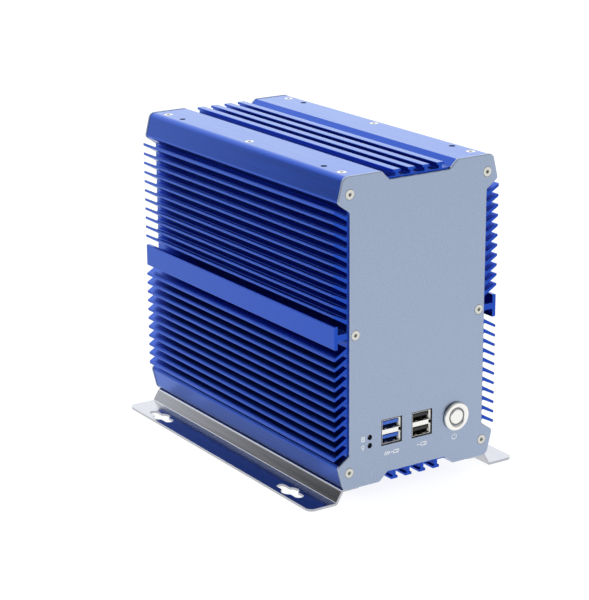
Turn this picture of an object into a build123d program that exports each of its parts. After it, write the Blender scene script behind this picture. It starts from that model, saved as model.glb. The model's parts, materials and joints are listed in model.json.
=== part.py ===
"""Fanless box computer: a Mini-ITX mainboard in a case of finned aluminium extrusions.

Millimetres, +Z up, front panel towards -Y. The origin is on the ground under the middle of the box.
Profiles are drawn looking at the front, with local x to the right and local y up from mid height.
"""
import math
import os

from build123d import *

os.makedirs("parts", exist_ok=True)

# ---------------------------------------------------------------- driving dimensions
CASE_DEPTH = 222.0            # over the front and rear panels
CASE_HEIGHT = 190.0           # over the corner blocks
BRACKET_DROP = 9.0            # from the ground to the underside of the case
MID_Z = BRACKET_DROP - 0.2 + CASE_HEIGHT / 2
FRONT_Y = -CASE_DEPTH / 2     # outer face of the front panel
REAR_Y = CASE_DEPTH / 2       # outer face of the rear panel
PANEL_T = 1.5
PANEL_EDGE = 0.35             # chamfer round a panel's outer face
PANEL_LAP = 0.2               # how far the panels stand out past the extrusions' corner blocks

# panel outline, one quarter: recess corner, lobe corners, start of the straight side
RECESS = (21.6, 89.6)
LOBE_INNER = (27.4, 95.0)
LOBE_TOP = (53.8, 95.0)
LOBE_SIDE = (57.7, 79.5)
SIDE_START = (49.4, 73.7)
LOBE_TOP_FILLET = 4.0
LOBE_SIDE_FILLET = 2.5

# side extrusion
WALL_IN = 46.0                # inner face of the base wall
WALL_OUT = 50.4               # outer face of the base wall, where the fins start
LIP_BOTTOM = 90.8             # underside of the corner block's lip, which is the recess floor
LIP_TOP = 94.8
GROOVE_FLOOR = 86.6
GROOVE_OUT = 51.0
BLOCK_FOOT = 74.6             # where the corner block begins on the wall
FIN_COUNT = 11
FIN_PITCH = 6.15
FIN_FIRST_TIP = 13.4          # height of the first fin's tip above mid height
FIN_TIP_X = 59.6
FIN_SLOPE = math.tan(math.radians(28.4))
FIN_ROOT_HALF = 1.3
FIN_TIP_HALF = 0.9
FIN_SINK = 0.6                # how deep a fin's root is drawn into the wall
FIN_ROOT_FILLET = 0.8
FIN_TIP_FILLET = 0.5
BAR_STEM_HALF = 1.9
BAR_FLANGE_IN = 56.9
BAR_FLANGE_OUT = 59.3
BAR_FLANGE_HALF = 7.1
BAR_FILLET = 0.7

# ribbed covers
COVER_T = 4.1
COVER_HALF_WIDTH = 50.8
RIB_CENTRES = (-15.6, -5.2, 5.2, 15.6)
RIB_STEM = 2.2
RIB_CAP = 5.1
RIB_CAP_T = 1.5
RIB_TOP = 94.5
RIB_BOTTOM = 95.9             # the bottom cover's ribs are taller
RIB_FILLET = 0.4
BLIND_FLOOR = 0.8             # metal left over a blind hole tapped in a cover

# fasteners
M3_R = 1.5
M3_CLEAR_R = 1.65
M3_HEAD_R = 3.0
M3_HEAD_H = 1.5
M3_HEAD_EDGE = 0.15           # height of the head's straight rim
HEX_SOCKET_R = 1.15
HEX_SOCKET_DEPTH = 1.2
PANEL_SCREW_LENGTH = 10.0
COVER_SCREW_LENGTH = 7.9
PAN_HEAD_R = 2.8
PAN_HEAD_H = 1.8
PAN_HEAD_TAPER = 12           # degrees
CROSS_WIDTH = 0.24            # width of the cross recess, as a share of the head's radius
BOARD_SCREW_LENGTH = 4.5
BLOCK_SCREW_LENGTH = 12.0
DRIVE_SCREW_LENGTH = 7.5
STANDOFF_R = 3.0
STANDOFF_TAP = 4.0            # depth of its tapped end
COVER_STUD = 2.8
SINK_R = M3_HEAD_R + 0.25     # the countersink's mouth
TAP_PLAY = 0.05               # the modelled gap round a screw in its tapped hole
M3_TAP_R = M3_R + TAP_PLAY
M4_R = 2.0
M4_CLEAR_R = 2.2
M4_HEAD_R = 3.8
M4_HEAD_H = 2.4
BRACKET_SCREW_LENGTH = 7.0
MID_SCREW_X = 45.3
PANEL_SCREWS = [(sx * 49.5, sz * 84.4) for sx in (-1, 1) for sz in (-1, 1)]
PANEL_SCREWS += [(-MID_SCREW_X, 0), (MID_SCREW_X, 0)]
BOSS_R = 3.8                  # boss inside the wall for the screw at mid height, milled off between the ends
BOSS_LENGTH = 16.0
TAP_DEPTH = 12.0
COVER_SCREW_X = 46.5
COVER_SCREW_YS = (-98.5, 0, 98.5)
TAPPED_YS = (-80.5, 80.5)     # accessory holes in the top
BRACKET_SCREW_YS = (-70.0, 70.0)
TAPPED_R = M4_R + TAP_PLAY

# mounting brackets
BRACKET_T = 1.5
BRACKET_LENGTH = 218.0
BRACKET_IN = 39.5             # inner edge of the plate under the case
RISER_TOP = 53.4              # where the riser's outer face leaves the plate
RISER_FOOT = 57.8             # where it meets the flange
BRACKET_OUT = 76.6            # outer edge of the flange
BEND_OUTER = 2.3
BEND_INNER = 0.8
FLANGE_CORNER = 4.5
PLATE_CORNER = 3.0
SLOT_X = 69.5
SLOT_Y = 77.5
SLOT_LENGTH = 25.0
SLOT_WIDTH = 5.5
KEY_R = 5.5

# front ports
PORT_Z = -64.2                # middle of the USB openings, from mid height
USB3_X = -18.8
USB2_X = 3.6
PORT_CUT = (15.3, 16.4)
SHELL = (13.6, 15.0)
SHELL_DEPTH = 17.5
SHELL_SETBACK = 0.6
CAVITY = (12.4, 5.2)
CAVITY_RISE = 4.35
TONGUE = (11.1, 1.9)
TONGUE_OFFSET = 0.85          # from the middle of the opening
TONGUE_SETBACK = 0.9
INSERT_START = 11.0           # depth of the plastic behind the opening
INSERT_CAP_T = 1.2
INSERT_PLAY = 0.2
LED_X = -34.8
LED_ZS = (-65.0, -70.2)
LED_HOLE_R = 1.7
LED_R = 1.5
LED_BACK_Y = -102.0
LED_LENGTH = 7.6
LED_NOSE_FILLET = 1.2

# power button, measured along its axis from the panel's outer face (negative is in front)
BUTTON_X = 28.8
BUTTON_Z = -64.65
HEAD_R = 9.0
BARREL_R = 8.0
BARREL_PLAY = 0.15
GASKET_T = 0.4
HEAD_T = 1.8
HEAD_EDGE = 0.6
DISH_R = 7.6                  # where the head's face starts to fall towards the bore
DISH_DEPTH = 0.7
BORE_R = 5.65
RING_R = 5.58
DISC_R = 4.9
PLUNGER_PROUD = 0.5
PLUNGER_EDGE = 0.4
RING_SETBACK = 0.35
SHOULDER_R = 6.6
SHOULDER_T = 1.8
STEM_R = 2.2
STEM_LENGTH = 3.6
NUT_R = 10.8
NUT_T = 2.5
BUTTON_TRAVEL = 2.0
CHAMBER_START = 3.0
CHAMBER_R = 6.9
BARREL_END = 18.0
BASE_START = 12.5
BASE_PROUD = 5.0              # switch base behind the barrel
TERMINAL = (0.8, 2.0)
TERMINAL_PITCH = 5.0
TERMINAL_LENGTH = 6.5
TERMINAL_SINK = 1.4
SPRING_WIRE = 0.3
SPRING_TURNS = 5
SPRING_R = 4.2

# mainboard (Mini-ITX), standing upright in the middle plane
BOARD = 170.0
BOARD_T = 1.6
BOARD_REAR = 108.0
BOARD_HOLE_ZS = (-78.74, 78.74)
TRAY_X = 7.3                  # face of the tray that the standoffs stand on
TRAY_T = 1.5
COMPONENT_X = -BOARD_T / 2    # the board's component face looks at the left wall
SHIELD_X = (-41.0, 2.3)
SHIELD_HALF = 79.2
SHIELD_T = 0.5
BOARD_SCREW_PITCH = 154.94
BOARD_SCREW_INSET = 10.16     # of the rear screws from the board's rear edge
CPU_Y = 38.0
CPU_Z = 12.0
BLOCK_SCREW_HALF = 37.5


# ---------------------------------------------------------------- helpers
BACK = (0, 1, 0)


def front_plane(y):
    """Plane facing the front, with its origin at mid height."""
    return Plane(origin=(0, y, MID_Z), x_dir=(1, 0, 0), z_dir=(0, -1, 0))


def side_plane(x):
    """Plane facing the left, local x towards the front and local y up from mid height."""
    return Plane(origin=(x, 0, MID_Z), x_dir=(0, -1, 0), z_dir=(-1, 0, 0))


def save(builder, name):
    builder.part.label = name
    export_step(builder.part, f"parts/{name}.step")


def panel_outline():
    """The X-shaped outline that both end panels share."""
    quarter = [RECESS, LOBE_INNER, LOBE_TOP, LOBE_SIDE, SIDE_START]
    right = quarter + [(x, -z) for x, z in reversed(quarter)]
    left = [(-x, z) for x, z in reversed(right)]
    radii = {RECESS: 1.0, LOBE_INNER: 2.0, SIDE_START: 2.0}
    radii |= {LOBE_TOP: LOBE_TOP_FILLET, LOBE_SIDE: LOBE_SIDE_FILLET}
    with BuildSketch() as outline:
        with BuildLine():
            Polyline(*right, *left, close=True)
        make_face()
        for corner, radius in radii.items():
            at_corner = [
                v for v in outline.vertices()
                if abs(abs(v.X) - corner[0]) < 0.01 and abs(abs(v.Y) - corner[1]) < 0.01
            ]
            fillet(at_corner, radius=radius)
    return outline.sketch


PANEL_OUTLINE = panel_outline()


def countersunk_screws(name, planes, length):
    """Countersunk M3 hex-socket screws: each plane lies on a head's face with its normal outwards."""
    with BuildPart() as screws:
        for plane in planes:
            with BuildSketch(plane.offset(-length)):
                Circle(M3_R)
            extrude(amount=length - M3_HEAD_H / 2)
            with BuildSketch(plane.offset(-M3_HEAD_H)):
                Circle(M3_R)
            with BuildSketch(plane.offset(-M3_HEAD_EDGE)):
                Circle(M3_HEAD_R)
            loft()
            with BuildSketch(plane.offset(-M3_HEAD_EDGE)):
                Circle(M3_HEAD_R)
            extrude(amount=M3_HEAD_EDGE)
            with BuildSketch(plane):
                RegularPolygon(HEX_SOCKET_R, 6)
            extrude(amount=-HEX_SOCKET_DEPTH, mode=Mode.SUBTRACT)
    save(screws, name)


def pan_screws(name, planes, length, radius=M3_R, head_r=PAN_HEAD_R, head_h=PAN_HEAD_H):
    """Pan-head cross-recess screws: each plane lies under a head with its normal outwards."""
    with BuildPart() as screws:
        for plane in planes:
            with BuildSketch(plane.offset(-length)):
                Circle(radius)
            extrude(amount=length)
            with BuildSketch(plane):
                Circle(head_r)
            extrude(amount=head_h, taper=PAN_HEAD_TAPER)
            with BuildSketch(plane.offset(head_h)):
                Rectangle(head_r, head_r * CROSS_WIDTH)
                Rectangle(head_r * CROSS_WIDTH, head_r)
            extrude(amount=-head_h / 2, mode=Mode.SUBTRACT)
    save(screws, name)


def standoffs(name, seat, places, height, stud):
    """Hexagonal M3 standoffs on the seat's plane, each with a stud behind it and a tapped end."""
    with BuildPart() as posts:
        with BuildSketch(seat):
            with Locations(*places):
                RegularPolygon(STANDOFF_R, 6)
        extrude(amount=height)
        with BuildSketch(seat):
            with Locations(*places):
                Circle(M3_R)
        extrude(amount=-stud)
        with BuildSketch(seat.offset(height)):
            with Locations(*places):
                Circle(M3_TAP_R)
        extrude(amount=-STANDOFF_TAP, mode=Mode.SUBTRACT)
    save(posts, name)


# ---------------------------------------------------------------- end panels
def cut_screw_holes(y, outward):
    """Countersunk clearance holes for the six panel screws."""
    for x, z in PANEL_SCREWS:
        with Locations(Plane(origin=(x, y, MID_Z + z), x_dir=(1, 0, 0), z_dir=(0, outward, 0))):
            CounterSinkHole(M3_CLEAR_R, SINK_R, depth=PANEL_T, counter_sink_angle=90)


with BuildPart() as front_panel:
    with BuildSketch(front_plane(FRONT_Y + PANEL_T)):
        add(PANEL_OUTLINE)
        for x in (USB3_X, USB2_X):
            with Locations((x, PORT_Z)):
                Rectangle(*PORT_CUT, mode=Mode.SUBTRACT)
        for z in LED_ZS:
            with Locations((LED_X, z)):
                Circle(LED_HOLE_R, mode=Mode.SUBTRACT)
        with Locations((BUTTON_X, BUTTON_Z)):
            Circle(BARREL_R + BARREL_PLAY, mode=Mode.SUBTRACT)
    extrude(amount=PANEL_T)
    outer_wire = front_panel.faces().sort_by(Axis.Y)[0].outer_wire()
    chamfer(outer_wire.edges(), length=PANEL_EDGE)
    cut_screw_holes(FRONT_Y, -1)
save(front_panel, "front_panel")

AERIAL_HOLES = [(30.0, 62.0), (30.0, -62.0)]
AERIAL_R = 3.25
SHIELD_LAP = 1.1              # of the rear panel over the port shield's edge
with BuildPart() as rear_panel:
    with BuildSketch(front_plane(REAR_Y)):
        add(PANEL_OUTLINE)
        with Locations(((SHIELD_X[0] + SHIELD_X[1]) / 2, 0)):
            Rectangle(
                SHIELD_X[1] - SHIELD_X[0] - 2 * SHIELD_LAP, 2 * (SHIELD_HALF - SHIELD_LAP), mode=Mode.SUBTRACT
            )
        for place in AERIAL_HOLES:
            with Locations(place):
                Circle(AERIAL_R, mode=Mode.SUBTRACT)
    extrude(amount=PANEL_T)
    outer_wire = rear_panel.faces().sort_by(Axis.Y)[-1].outer_wire()
    chamfer(outer_wire.edges(), length=PANEL_EDGE)
    cut_screw_holes(REAR_Y, 1)
save(rear_panel, "rear_panel")

panel_heads = [
    Plane(origin=(x, y, MID_Z + z), x_dir=(1, 0, 0), z_dir=(0, outward, 0))
    for y, outward in ((FRONT_Y, -1), (REAR_Y, 1))
    for x, z in PANEL_SCREWS
]
countersunk_screws("panel_screws", panel_heads, PANEL_SCREW_LENGTH)

# ---------------------------------------------------------------- side extrusions
EXTRUSION_LENGTH = CASE_DEPTH - 2 * PANEL_T


def fin_points(side, up, tip_z):
    """One fin's four corners; it leans away from mid height."""
    root_x = WALL_OUT - FIN_SINK
    root_z = tip_z - (FIN_TIP_X - root_x) * FIN_SLOPE
    return [
        (side * root_x, up * (root_z - FIN_ROOT_HALF)),
        (side * FIN_TIP_X, up * (tip_z - FIN_TIP_HALF)),
        (side * FIN_TIP_X, up * (tip_z + FIN_TIP_HALF)),
        (side * root_x, up * (root_z + FIN_ROOT_HALF)),
    ]


def corner_block(side, up):
    """The solid corner block with the lip that laps over the cover's edge."""
    slope = (LOBE_INNER[0] - RECESS[0]) / (LOBE_INNER[1] - RECESS[1])
    lip_tip = RECESS[0] + (LIP_BOTTOM - RECESS[1]) * slope + PANEL_LAP
    lip_edge = RECESS[0] + (LIP_TOP - RECESS[1]) * slope + PANEL_LAP
    corners = [
        (lip_tip, LIP_BOTTOM),
        (lip_edge, LIP_TOP),
        (LOBE_TOP[0] - PANEL_LAP, LIP_TOP),
        (LOBE_SIDE[0] - PANEL_LAP, LOBE_SIDE[1]),
        (WALL_OUT, BLOCK_FOOT),
        (WALL_IN, BLOCK_FOOT),
        (WALL_IN, GROOVE_FLOOR),
        (GROOVE_OUT, GROOVE_FLOOR),
        (GROOVE_OUT, LIP_BOTTOM),
    ]
    return [(side * x, up * z) for x, z in corners]


def tapped_ys(up):
    """Where the M4 holes lie along the top corner blocks, or along the bottom ones."""
    return TAPPED_YS if up > 0 else BRACKET_SCREW_YS


def heat_sink(side):
    with BuildPart() as sink:
        with BuildSketch(front_plane(FRONT_Y + PANEL_T)) as profile:
            with Locations((side * (WALL_IN + WALL_OUT) / 2, 0)):
                Rectangle(WALL_OUT - WALL_IN, 2 * GROOVE_FLOOR)
            for up in (-1, 1):
                with BuildLine():
                    Polyline(*corner_block(side, up), close=True)
                make_face()
                for index in range(FIN_COUNT):
                    with BuildLine():
                        tip_z = FIN_FIRST_TIP + index * FIN_PITCH
                        Polyline(*fin_points(side, up, tip_z), close=True)
                    make_face()
            with Locations((side * (WALL_OUT + BAR_FLANGE_IN) / 2, 0)):
                Rectangle(BAR_FLANGE_IN - WALL_OUT + FIN_SINK, 2 * BAR_STEM_HALF)
            with Locations((side * (BAR_FLANGE_IN + BAR_FLANGE_OUT) / 2, 0)):
                Rectangle(BAR_FLANGE_OUT - BAR_FLANGE_IN, 2 * BAR_FLANGE_HALF)
            fin_field = SIDE_START[1] - FIN_SINK
            rounded = [
                (WALL_OUT, fin_field, FIN_ROOT_FILLET),
                (FIN_TIP_X, fin_field, FIN_TIP_FILLET),
                (BAR_FLANGE_OUT, fin_field, BAR_FILLET),
                (LOBE_TOP[0] - PANEL_LAP, LOBE_TOP[1], LOBE_TOP_FILLET),
                (LOBE_SIDE[0] - PANEL_LAP, LOBE_TOP[1], LOBE_SIDE_FILLET),
            ]
            for x, limit, radius in rounded:
                at_x = [v for v in profile.vertices() if abs(abs(v.X) - x) < 0.01 and abs(v.Y) < limit]
                fillet(at_x, radius=radius)
        extrude(amount=EXTRUSION_LENGTH, dir=BACK)
        screws = [(x, z) for x, z in PANEL_SCREWS if x * side > 0]
        for end_y, inward in ((FRONT_Y + PANEL_T, 1), (REAR_Y - PANEL_T, -1)):
            with BuildSketch(front_plane(end_y)):
                with Locations((side * MID_SCREW_X, 0)):
                    Circle(BOSS_R)
            extrude(amount=BOSS_LENGTH, dir=(0, inward, 0))
            with BuildSketch(front_plane(end_y)):
                with Locations(*screws):
                    Circle(M3_R + TAP_PLAY)
            extrude(amount=TAP_DEPTH, dir=(0, inward, 0), mode=Mode.SUBTRACT)
        for up in (-1, 1):
            lip_face = Plane(
                origin=(side * COVER_SCREW_X, 0, MID_Z + up * LIP_TOP), x_dir=(1, 0, 0), z_dir=(0, 0, up)
            )
            lip_t = LIP_TOP - LIP_BOTTOM
            with Locations(*[lip_face * Pos(0, up * y, 0) for y in COVER_SCREW_YS]):
                CounterSinkHole(M3_CLEAR_R, SINK_R, depth=lip_t, counter_sink_angle=90)
            with Locations(*[lip_face * Pos(0, up * y, 0) for y in tapped_ys(up)]):
                Hole(TAPPED_R, depth=lip_t)
    return sink


for name, side in (("heat_sink_left", -1), ("heat_sink_right", 1)):
    save(heat_sink(side), name)

# ---------------------------------------------------------------- ribbed covers
STAND_XYS = ((-31.0, -88.0), (9.0, -88.0))      # front port board's standoffs on the bottom cover
TRAY_SCREW_X = TRAY_X + TRAY_T + 7.0
TRAY_SCREW_YS = (-40.0, 80.0)


def cover(up):
    rib_end = RIB_TOP if up > 0 else RIB_BOTTOM
    with BuildPart() as plate:
        with BuildSketch(front_plane(FRONT_Y + PANEL_T)) as profile:
            with Locations((0, up * (LIP_BOTTOM - COVER_T / 2))):
                Rectangle(2 * COVER_HALF_WIDTH, COVER_T)
            for x in RIB_CENTRES:
                with Locations((x, up * (LIP_BOTTOM + rib_end) / 2)):
                    Rectangle(RIB_STEM, rib_end - LIP_BOTTOM)
                with Locations((x, up * (rib_end - RIB_CAP_T / 2))):
                    Rectangle(RIB_CAP, RIB_CAP_T)
            caps = [v for v in profile.vertices() if abs(abs(v.Y) - rib_end) < 0.01]
            fillet(caps, radius=RIB_FILLET)
        extrude(amount=EXTRUSION_LENGTH, dir=BACK)
        through = -COVER_T
        blind = BLIND_FLOOR - COVER_T
        holes = [(side * COVER_SCREW_X, y, M3_TAP_R, through) for side in (-1, 1) for y in COVER_SCREW_YS]
        holes += [(side * COVER_SCREW_X, y, TAPPED_R, through) for side in (-1, 1) for y in tapped_ys(up)]
        holes += [(TRAY_SCREW_X, y, M3_TAP_R, blind) for y in TRAY_SCREW_YS]
        if up < 0:
            holes += [(x, y, M3_TAP_R, blind) for x, y in STAND_XYS]
        inner = Plane(
            origin=(0, 0, MID_Z + up * (LIP_BOTTOM - COVER_T)), x_dir=(1, 0, 0), z_dir=(0, 0, -up)
        )
        for x, y, radius, depth in holes:
            with BuildSketch(inner):
                with Locations((x, -up * y)):
                    Circle(radius)
            extrude(amount=depth, mode=Mode.SUBTRACT)
    return plate


for name, up in (("top_cover", 1), ("bottom_cover", -1)):
    save(cover(up), name)

cover_heads = [
    Plane(origin=(side * COVER_SCREW_X, y, MID_Z + up * LIP_TOP), x_dir=(1, 0, 0), z_dir=(0, 0, up))
    for up in (-1, 1)
    for side in (-1, 1)
    for y in COVER_SCREW_YS
]
countersunk_screws("cover_screws", cover_heads, COVER_SCREW_LENGTH)


# ---------------------------------------------------------------- mounting brackets
def mounting_bracket(side):
    """Sheet bent into a Z: plate under the case, leaning riser, flange on the ground."""
    lean = (RISER_FOOT - RISER_TOP) / (BRACKET_DROP - BRACKET_T)
    under = BRACKET_T * (lean - math.hypot(1, lean))      # from a bend on top to the same bend underneath
    top_bend = (RISER_TOP, BRACKET_DROP)
    foot_bend = (RISER_FOOT, BRACKET_T)
    top_bend_under = (RISER_TOP + under, BRACKET_DROP - BRACKET_T)
    foot_bend_under = (RISER_FOOT + under, 0)
    corners = [
        (BRACKET_IN, BRACKET_DROP),
        top_bend,
        foot_bend,
        (BRACKET_OUT, BRACKET_T),
        (BRACKET_OUT, 0),
        foot_bend_under,
        top_bend_under,
        (BRACKET_IN, BRACKET_DROP - BRACKET_T),
    ]
    bends = {
        top_bend: BEND_OUTER,
        foot_bend_under: BEND_OUTER,
        foot_bend: BEND_INNER,
        top_bend_under: BEND_INNER,
    }
    with BuildPart() as bracket:
        front_end = Plane(origin=(0, -BRACKET_LENGTH / 2, 0), x_dir=(1, 0, 0), z_dir=(0, -1, 0))
        with BuildSketch(front_end) as profile:
            with BuildLine():
                Polyline(*[(side * x, z) for x, z in corners], close=True)
            make_face()
            for (x, z), radius in bends.items():
                at_bend = [v for v in profile.vertices() if abs(abs(v.X) - x) < 0.01 and abs(v.Y - z) < 0.01]
                fillet(at_bend, radius=radius)
        extrude(amount=BRACKET_LENGTH, dir=BACK)
        upright = bracket.edges().filter_by(Axis.Z)
        fillet([e for e in upright if abs(e.center().X) > BRACKET_OUT - 0.1], radius=FLANGE_CORNER)
        fillet([e for e in upright if abs(e.center().X) < BRACKET_IN + 0.1], radius=PLATE_CORNER)
        with BuildSketch(Plane.XY):
            with Locations(*[(side * SLOT_X, y) for y in (-SLOT_Y, SLOT_Y)]):
                SlotOverall(SLOT_LENGTH, SLOT_WIDTH, rotation=90)
                Circle(KEY_R)
        extrude(amount=BRACKET_T, mode=Mode.SUBTRACT)
        with BuildSketch(Plane.XY.offset(BRACKET_DROP - BRACKET_T)):
            with Locations(*[(side * COVER_SCREW_X, y) for y in BRACKET_SCREW_YS]):
                Circle(M4_CLEAR_R)
        extrude(amount=BRACKET_T, mode=Mode.SUBTRACT)
    return bracket


for name, side in (("mounting_bracket_left", -1), ("mounting_bracket_right", 1)):
    save(mounting_bracket(side), name)

bracket_heads = [
    Plane(origin=(side * COVER_SCREW_X, y, BRACKET_DROP - BRACKET_T), x_dir=(1, 0, 0), z_dir=(0, 0, -1))
    for side in (-1, 1)
    for y in BRACKET_SCREW_YS
]
pan_screws("bracket_screws", bracket_heads, BRACKET_SCREW_LENGTH, M4_R, M4_HEAD_R, M4_HEAD_H)


# ---------------------------------------------------------------- front USB sockets
def usb_stack(x, shell_name, insert_name):
    front = FRONT_Y + SHELL_SETBACK
    with BuildPart() as shell:
        with BuildSketch(front_plane(front)):
            with Locations((x, PORT_Z)):
                RectangleRounded(*SHELL, radius=0.5)
        extrude(amount=SHELL_DEPTH, dir=BACK)
        with BuildSketch(front_plane(front)):
            with Locations((x, PORT_Z - CAVITY_RISE), (x, PORT_Z + CAVITY_RISE)):
                RectangleRounded(*CAVITY, radius=0.3)
        extrude(amount=SHELL_DEPTH, dir=BACK, mode=Mode.SUBTRACT)
    save(shell, shell_name)
    openings = [(x, PORT_Z - CAVITY_RISE), (x, PORT_Z + CAVITY_RISE)]
    with BuildPart() as insert:
        with BuildSketch(front_plane(front + INSERT_START)):
            with Locations(*openings):
                Rectangle(CAVITY[0] - INSERT_PLAY, CAVITY[1] - INSERT_PLAY)
        extrude(amount=SHELL_DEPTH - INSERT_START, dir=BACK)
        with BuildSketch(front_plane(front + SHELL_DEPTH)):
            with Locations((x, PORT_Z)):
                Rectangle(*SHELL)
        extrude(amount=INSERT_CAP_T, dir=BACK)
        with BuildSketch(front_plane(front + TONGUE_SETBACK)):
            with Locations(*[(x, z + TONGUE_OFFSET) for x, z in openings]):
                Rectangle(*TONGUE)
        extrude(amount=INSERT_START - TONGUE_SETBACK, dir=BACK)
    save(insert, insert_name)


usb_stack(USB3_X, "front_usb3_shell", "front_usb3_tongues")
usb_stack(USB2_X, "front_usb2_shell", "front_usb2_tongues")

IO_BOARD_TOP = PORT_Z - SHELL[1] / 2 - 0.05
IO_BOARD_X = (-40.0, 14.0)
IO_BOARD_Y = (-108.5, -80.0)
HOLDER_WIDTH = 5.0            # indicator holder, in a notch in the board's front edge
HOLDER_Y = (-107.6, -101.1)
HOLDER_TOP = LED_ZS[0] + 2.6
NOTCH_PLAY = 0.2
BOARD_CORNER = 1.0
COVER_INNER = LIP_BOTTOM - COVER_T
with BuildPart() as front_port_board:
    with BuildSketch(Plane.XY.offset(MID_Z + IO_BOARD_TOP - BOARD_T)):
        with Locations((sum(IO_BOARD_X) / 2, sum(IO_BOARD_Y) / 2)):
            io_board = (IO_BOARD_X[1] - IO_BOARD_X[0], IO_BOARD_Y[1] - IO_BOARD_Y[0])
            RectangleRounded(*io_board, radius=BOARD_CORNER)
        with Locations(*STAND_XYS):
            Circle(M3_CLEAR_R, mode=Mode.SUBTRACT)
        with Locations((LED_X, IO_BOARD_Y[0])):
            Rectangle(HOLDER_WIDTH + NOTCH_PLAY, 2 * (HOLDER_Y[1] - IO_BOARD_Y[0]), mode=Mode.SUBTRACT)
    extrude(amount=BOARD_T)
save(front_port_board, "front_port_board")

front_board_seat = Plane.XY.offset(MID_Z - COVER_INNER)
front_board_rise = COVER_INNER + IO_BOARD_TOP - BOARD_T
standoffs("front_board_standoffs", front_board_seat, STAND_XYS, front_board_rise, COVER_STUD)

port_board_heads = [
    Plane(origin=(x, y, MID_Z + IO_BOARD_TOP), x_dir=(1, 0, 0), z_dir=(0, 0, 1)) for x, y in STAND_XYS
]

with BuildPart() as indicator_holder:
    with BuildSketch(front_plane(HOLDER_Y[0])):
        with Locations((LED_X, (HOLDER_TOP + IO_BOARD_TOP - BOARD_T) / 2)):
            Rectangle(HOLDER_WIDTH, HOLDER_TOP - IO_BOARD_TOP + BOARD_T)
        for z in LED_ZS:
            with Locations((LED_X, z)):
                Circle(LED_R + 0.05, mode=Mode.SUBTRACT)
    extrude(amount=HOLDER_Y[1] - HOLDER_Y[0], dir=BACK)
save(indicator_holder, "indicator_holder")

with BuildPart() as indicator_leds:
    for z in LED_ZS:
        with BuildSketch(front_plane(LED_BACK_Y)):
            with Locations((LED_X, z)):
                Circle(LED_R)
        extrude(amount=LED_LENGTH)
    fillet(indicator_leds.faces().filter_by(Axis.Y).group_by(Axis.Y)[0].edges(), radius=LED_NOSE_FILLET)
save(indicator_leds, "indicator_leds")


# ---------------------------------------------------------------- power button
def button_plane(depth):
    """Plane across the button's axis, this far behind the panel's outer face."""
    return Plane(origin=(BUTTON_X, FRONT_Y + depth, MID_Z + BUTTON_Z), x_dir=(1, 0, 0), z_dir=(0, -1, 0))


HEAD_FRONT = -GASKET_T - HEAD_T
with BuildPart() as button_housing:
    with BuildSketch(button_plane(-GASKET_T)):
        Circle(HEAD_R)
    extrude(amount=HEAD_T)
    rim = button_housing.faces().sort_by(Axis.Y)[0].edges()
    chamfer(rim, length=HEAD_EDGE)
    with BuildSketch(button_plane(-GASKET_T)):
        Circle(BARREL_R)
    extrude(amount=BARREL_END + GASKET_T, dir=BACK)
    with BuildSketch(button_plane(HEAD_FRONT)):
        Circle(BORE_R)
    extrude(amount=BARREL_END - HEAD_FRONT, dir=BACK, mode=Mode.SUBTRACT)
    with BuildSketch(button_plane(CHAMBER_START)):
        Circle(CHAMBER_R)
    extrude(amount=BARREL_END - CHAMBER_START, dir=BACK, mode=Mode.SUBTRACT)
    with BuildSketch(button_plane(HEAD_FRONT)):
        Circle(DISH_R)
    with BuildSketch(button_plane(HEAD_FRONT + DISH_DEPTH)):
        Circle(BORE_R)
    loft(mode=Mode.SUBTRACT)
save(button_housing, "button_housing")

with BuildPart() as button_gasket:
    with BuildSketch(button_plane(0)):
        Circle(HEAD_R - 0.4)
        Circle(BARREL_R + 0.05, mode=Mode.SUBTRACT)
    extrude(amount=GASKET_T)
save(button_gasket, "button_gasket")

with BuildPart() as button_nut:
    with BuildSketch(button_plane(PANEL_T)):
        RegularPolygon(NUT_R, 6)
        Circle(BARREL_R + TAP_PLAY, mode=Mode.SUBTRACT)
    extrude(amount=NUT_T, dir=BACK)
save(button_nut, "button_nut")

PLUNGER_FRONT = HEAD_FRONT + DISH_DEPTH - PLUNGER_PROUD
SHOULDER = CHAMBER_START + 0.05
with BuildPart() as button_plunger:
    with BuildSketch(button_plane(PLUNGER_FRONT)):
        Circle(DISC_R)
    extrude(amount=SHOULDER - PLUNGER_FRONT, dir=BACK)
    fillet(button_plunger.faces().sort_by(Axis.Y)[0].edges(), radius=PLUNGER_EDGE)
    with BuildSketch(button_plane(SHOULDER)):
        Circle(SHOULDER_R)
    extrude(amount=SHOULDER_T, dir=BACK)
    with BuildSketch(button_plane(SHOULDER + SHOULDER_T)):
        Circle(STEM_R)
    extrude(amount=STEM_LENGTH, dir=BACK)
save(button_plunger, "button_plunger")

with BuildPart() as button_light_ring:
    with BuildSketch(button_plane(PLUNGER_FRONT + RING_SETBACK)):
        Circle(RING_R)
        Circle(DISC_R, mode=Mode.SUBTRACT)
    extrude(amount=SHOULDER - PLUNGER_FRONT - RING_SETBACK, dir=BACK)
save(button_light_ring, "button_light_ring")

SPRING_START = SHOULDER + SHOULDER_T
SPRING_PLAY = 0.05
spring_height = BASE_START - SPRING_START - 2 * (SPRING_WIRE + SPRING_PLAY)
with BuildPart() as button_spring:
    with BuildLine() as coil:
        Helix(
            pitch=spring_height / SPRING_TURNS,
            height=spring_height,
            radius=SPRING_R,
            center=button_plane(BASE_START - SPRING_WIRE - SPRING_PLAY).origin,
            direction=(0, -1, 0),
        )
    with BuildSketch(Plane(origin=coil.line @ 0, z_dir=coil.line % 0)):
        Circle(SPRING_WIRE)
    sweep(is_frenet=True)
save(button_spring, "button_spring")

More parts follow.
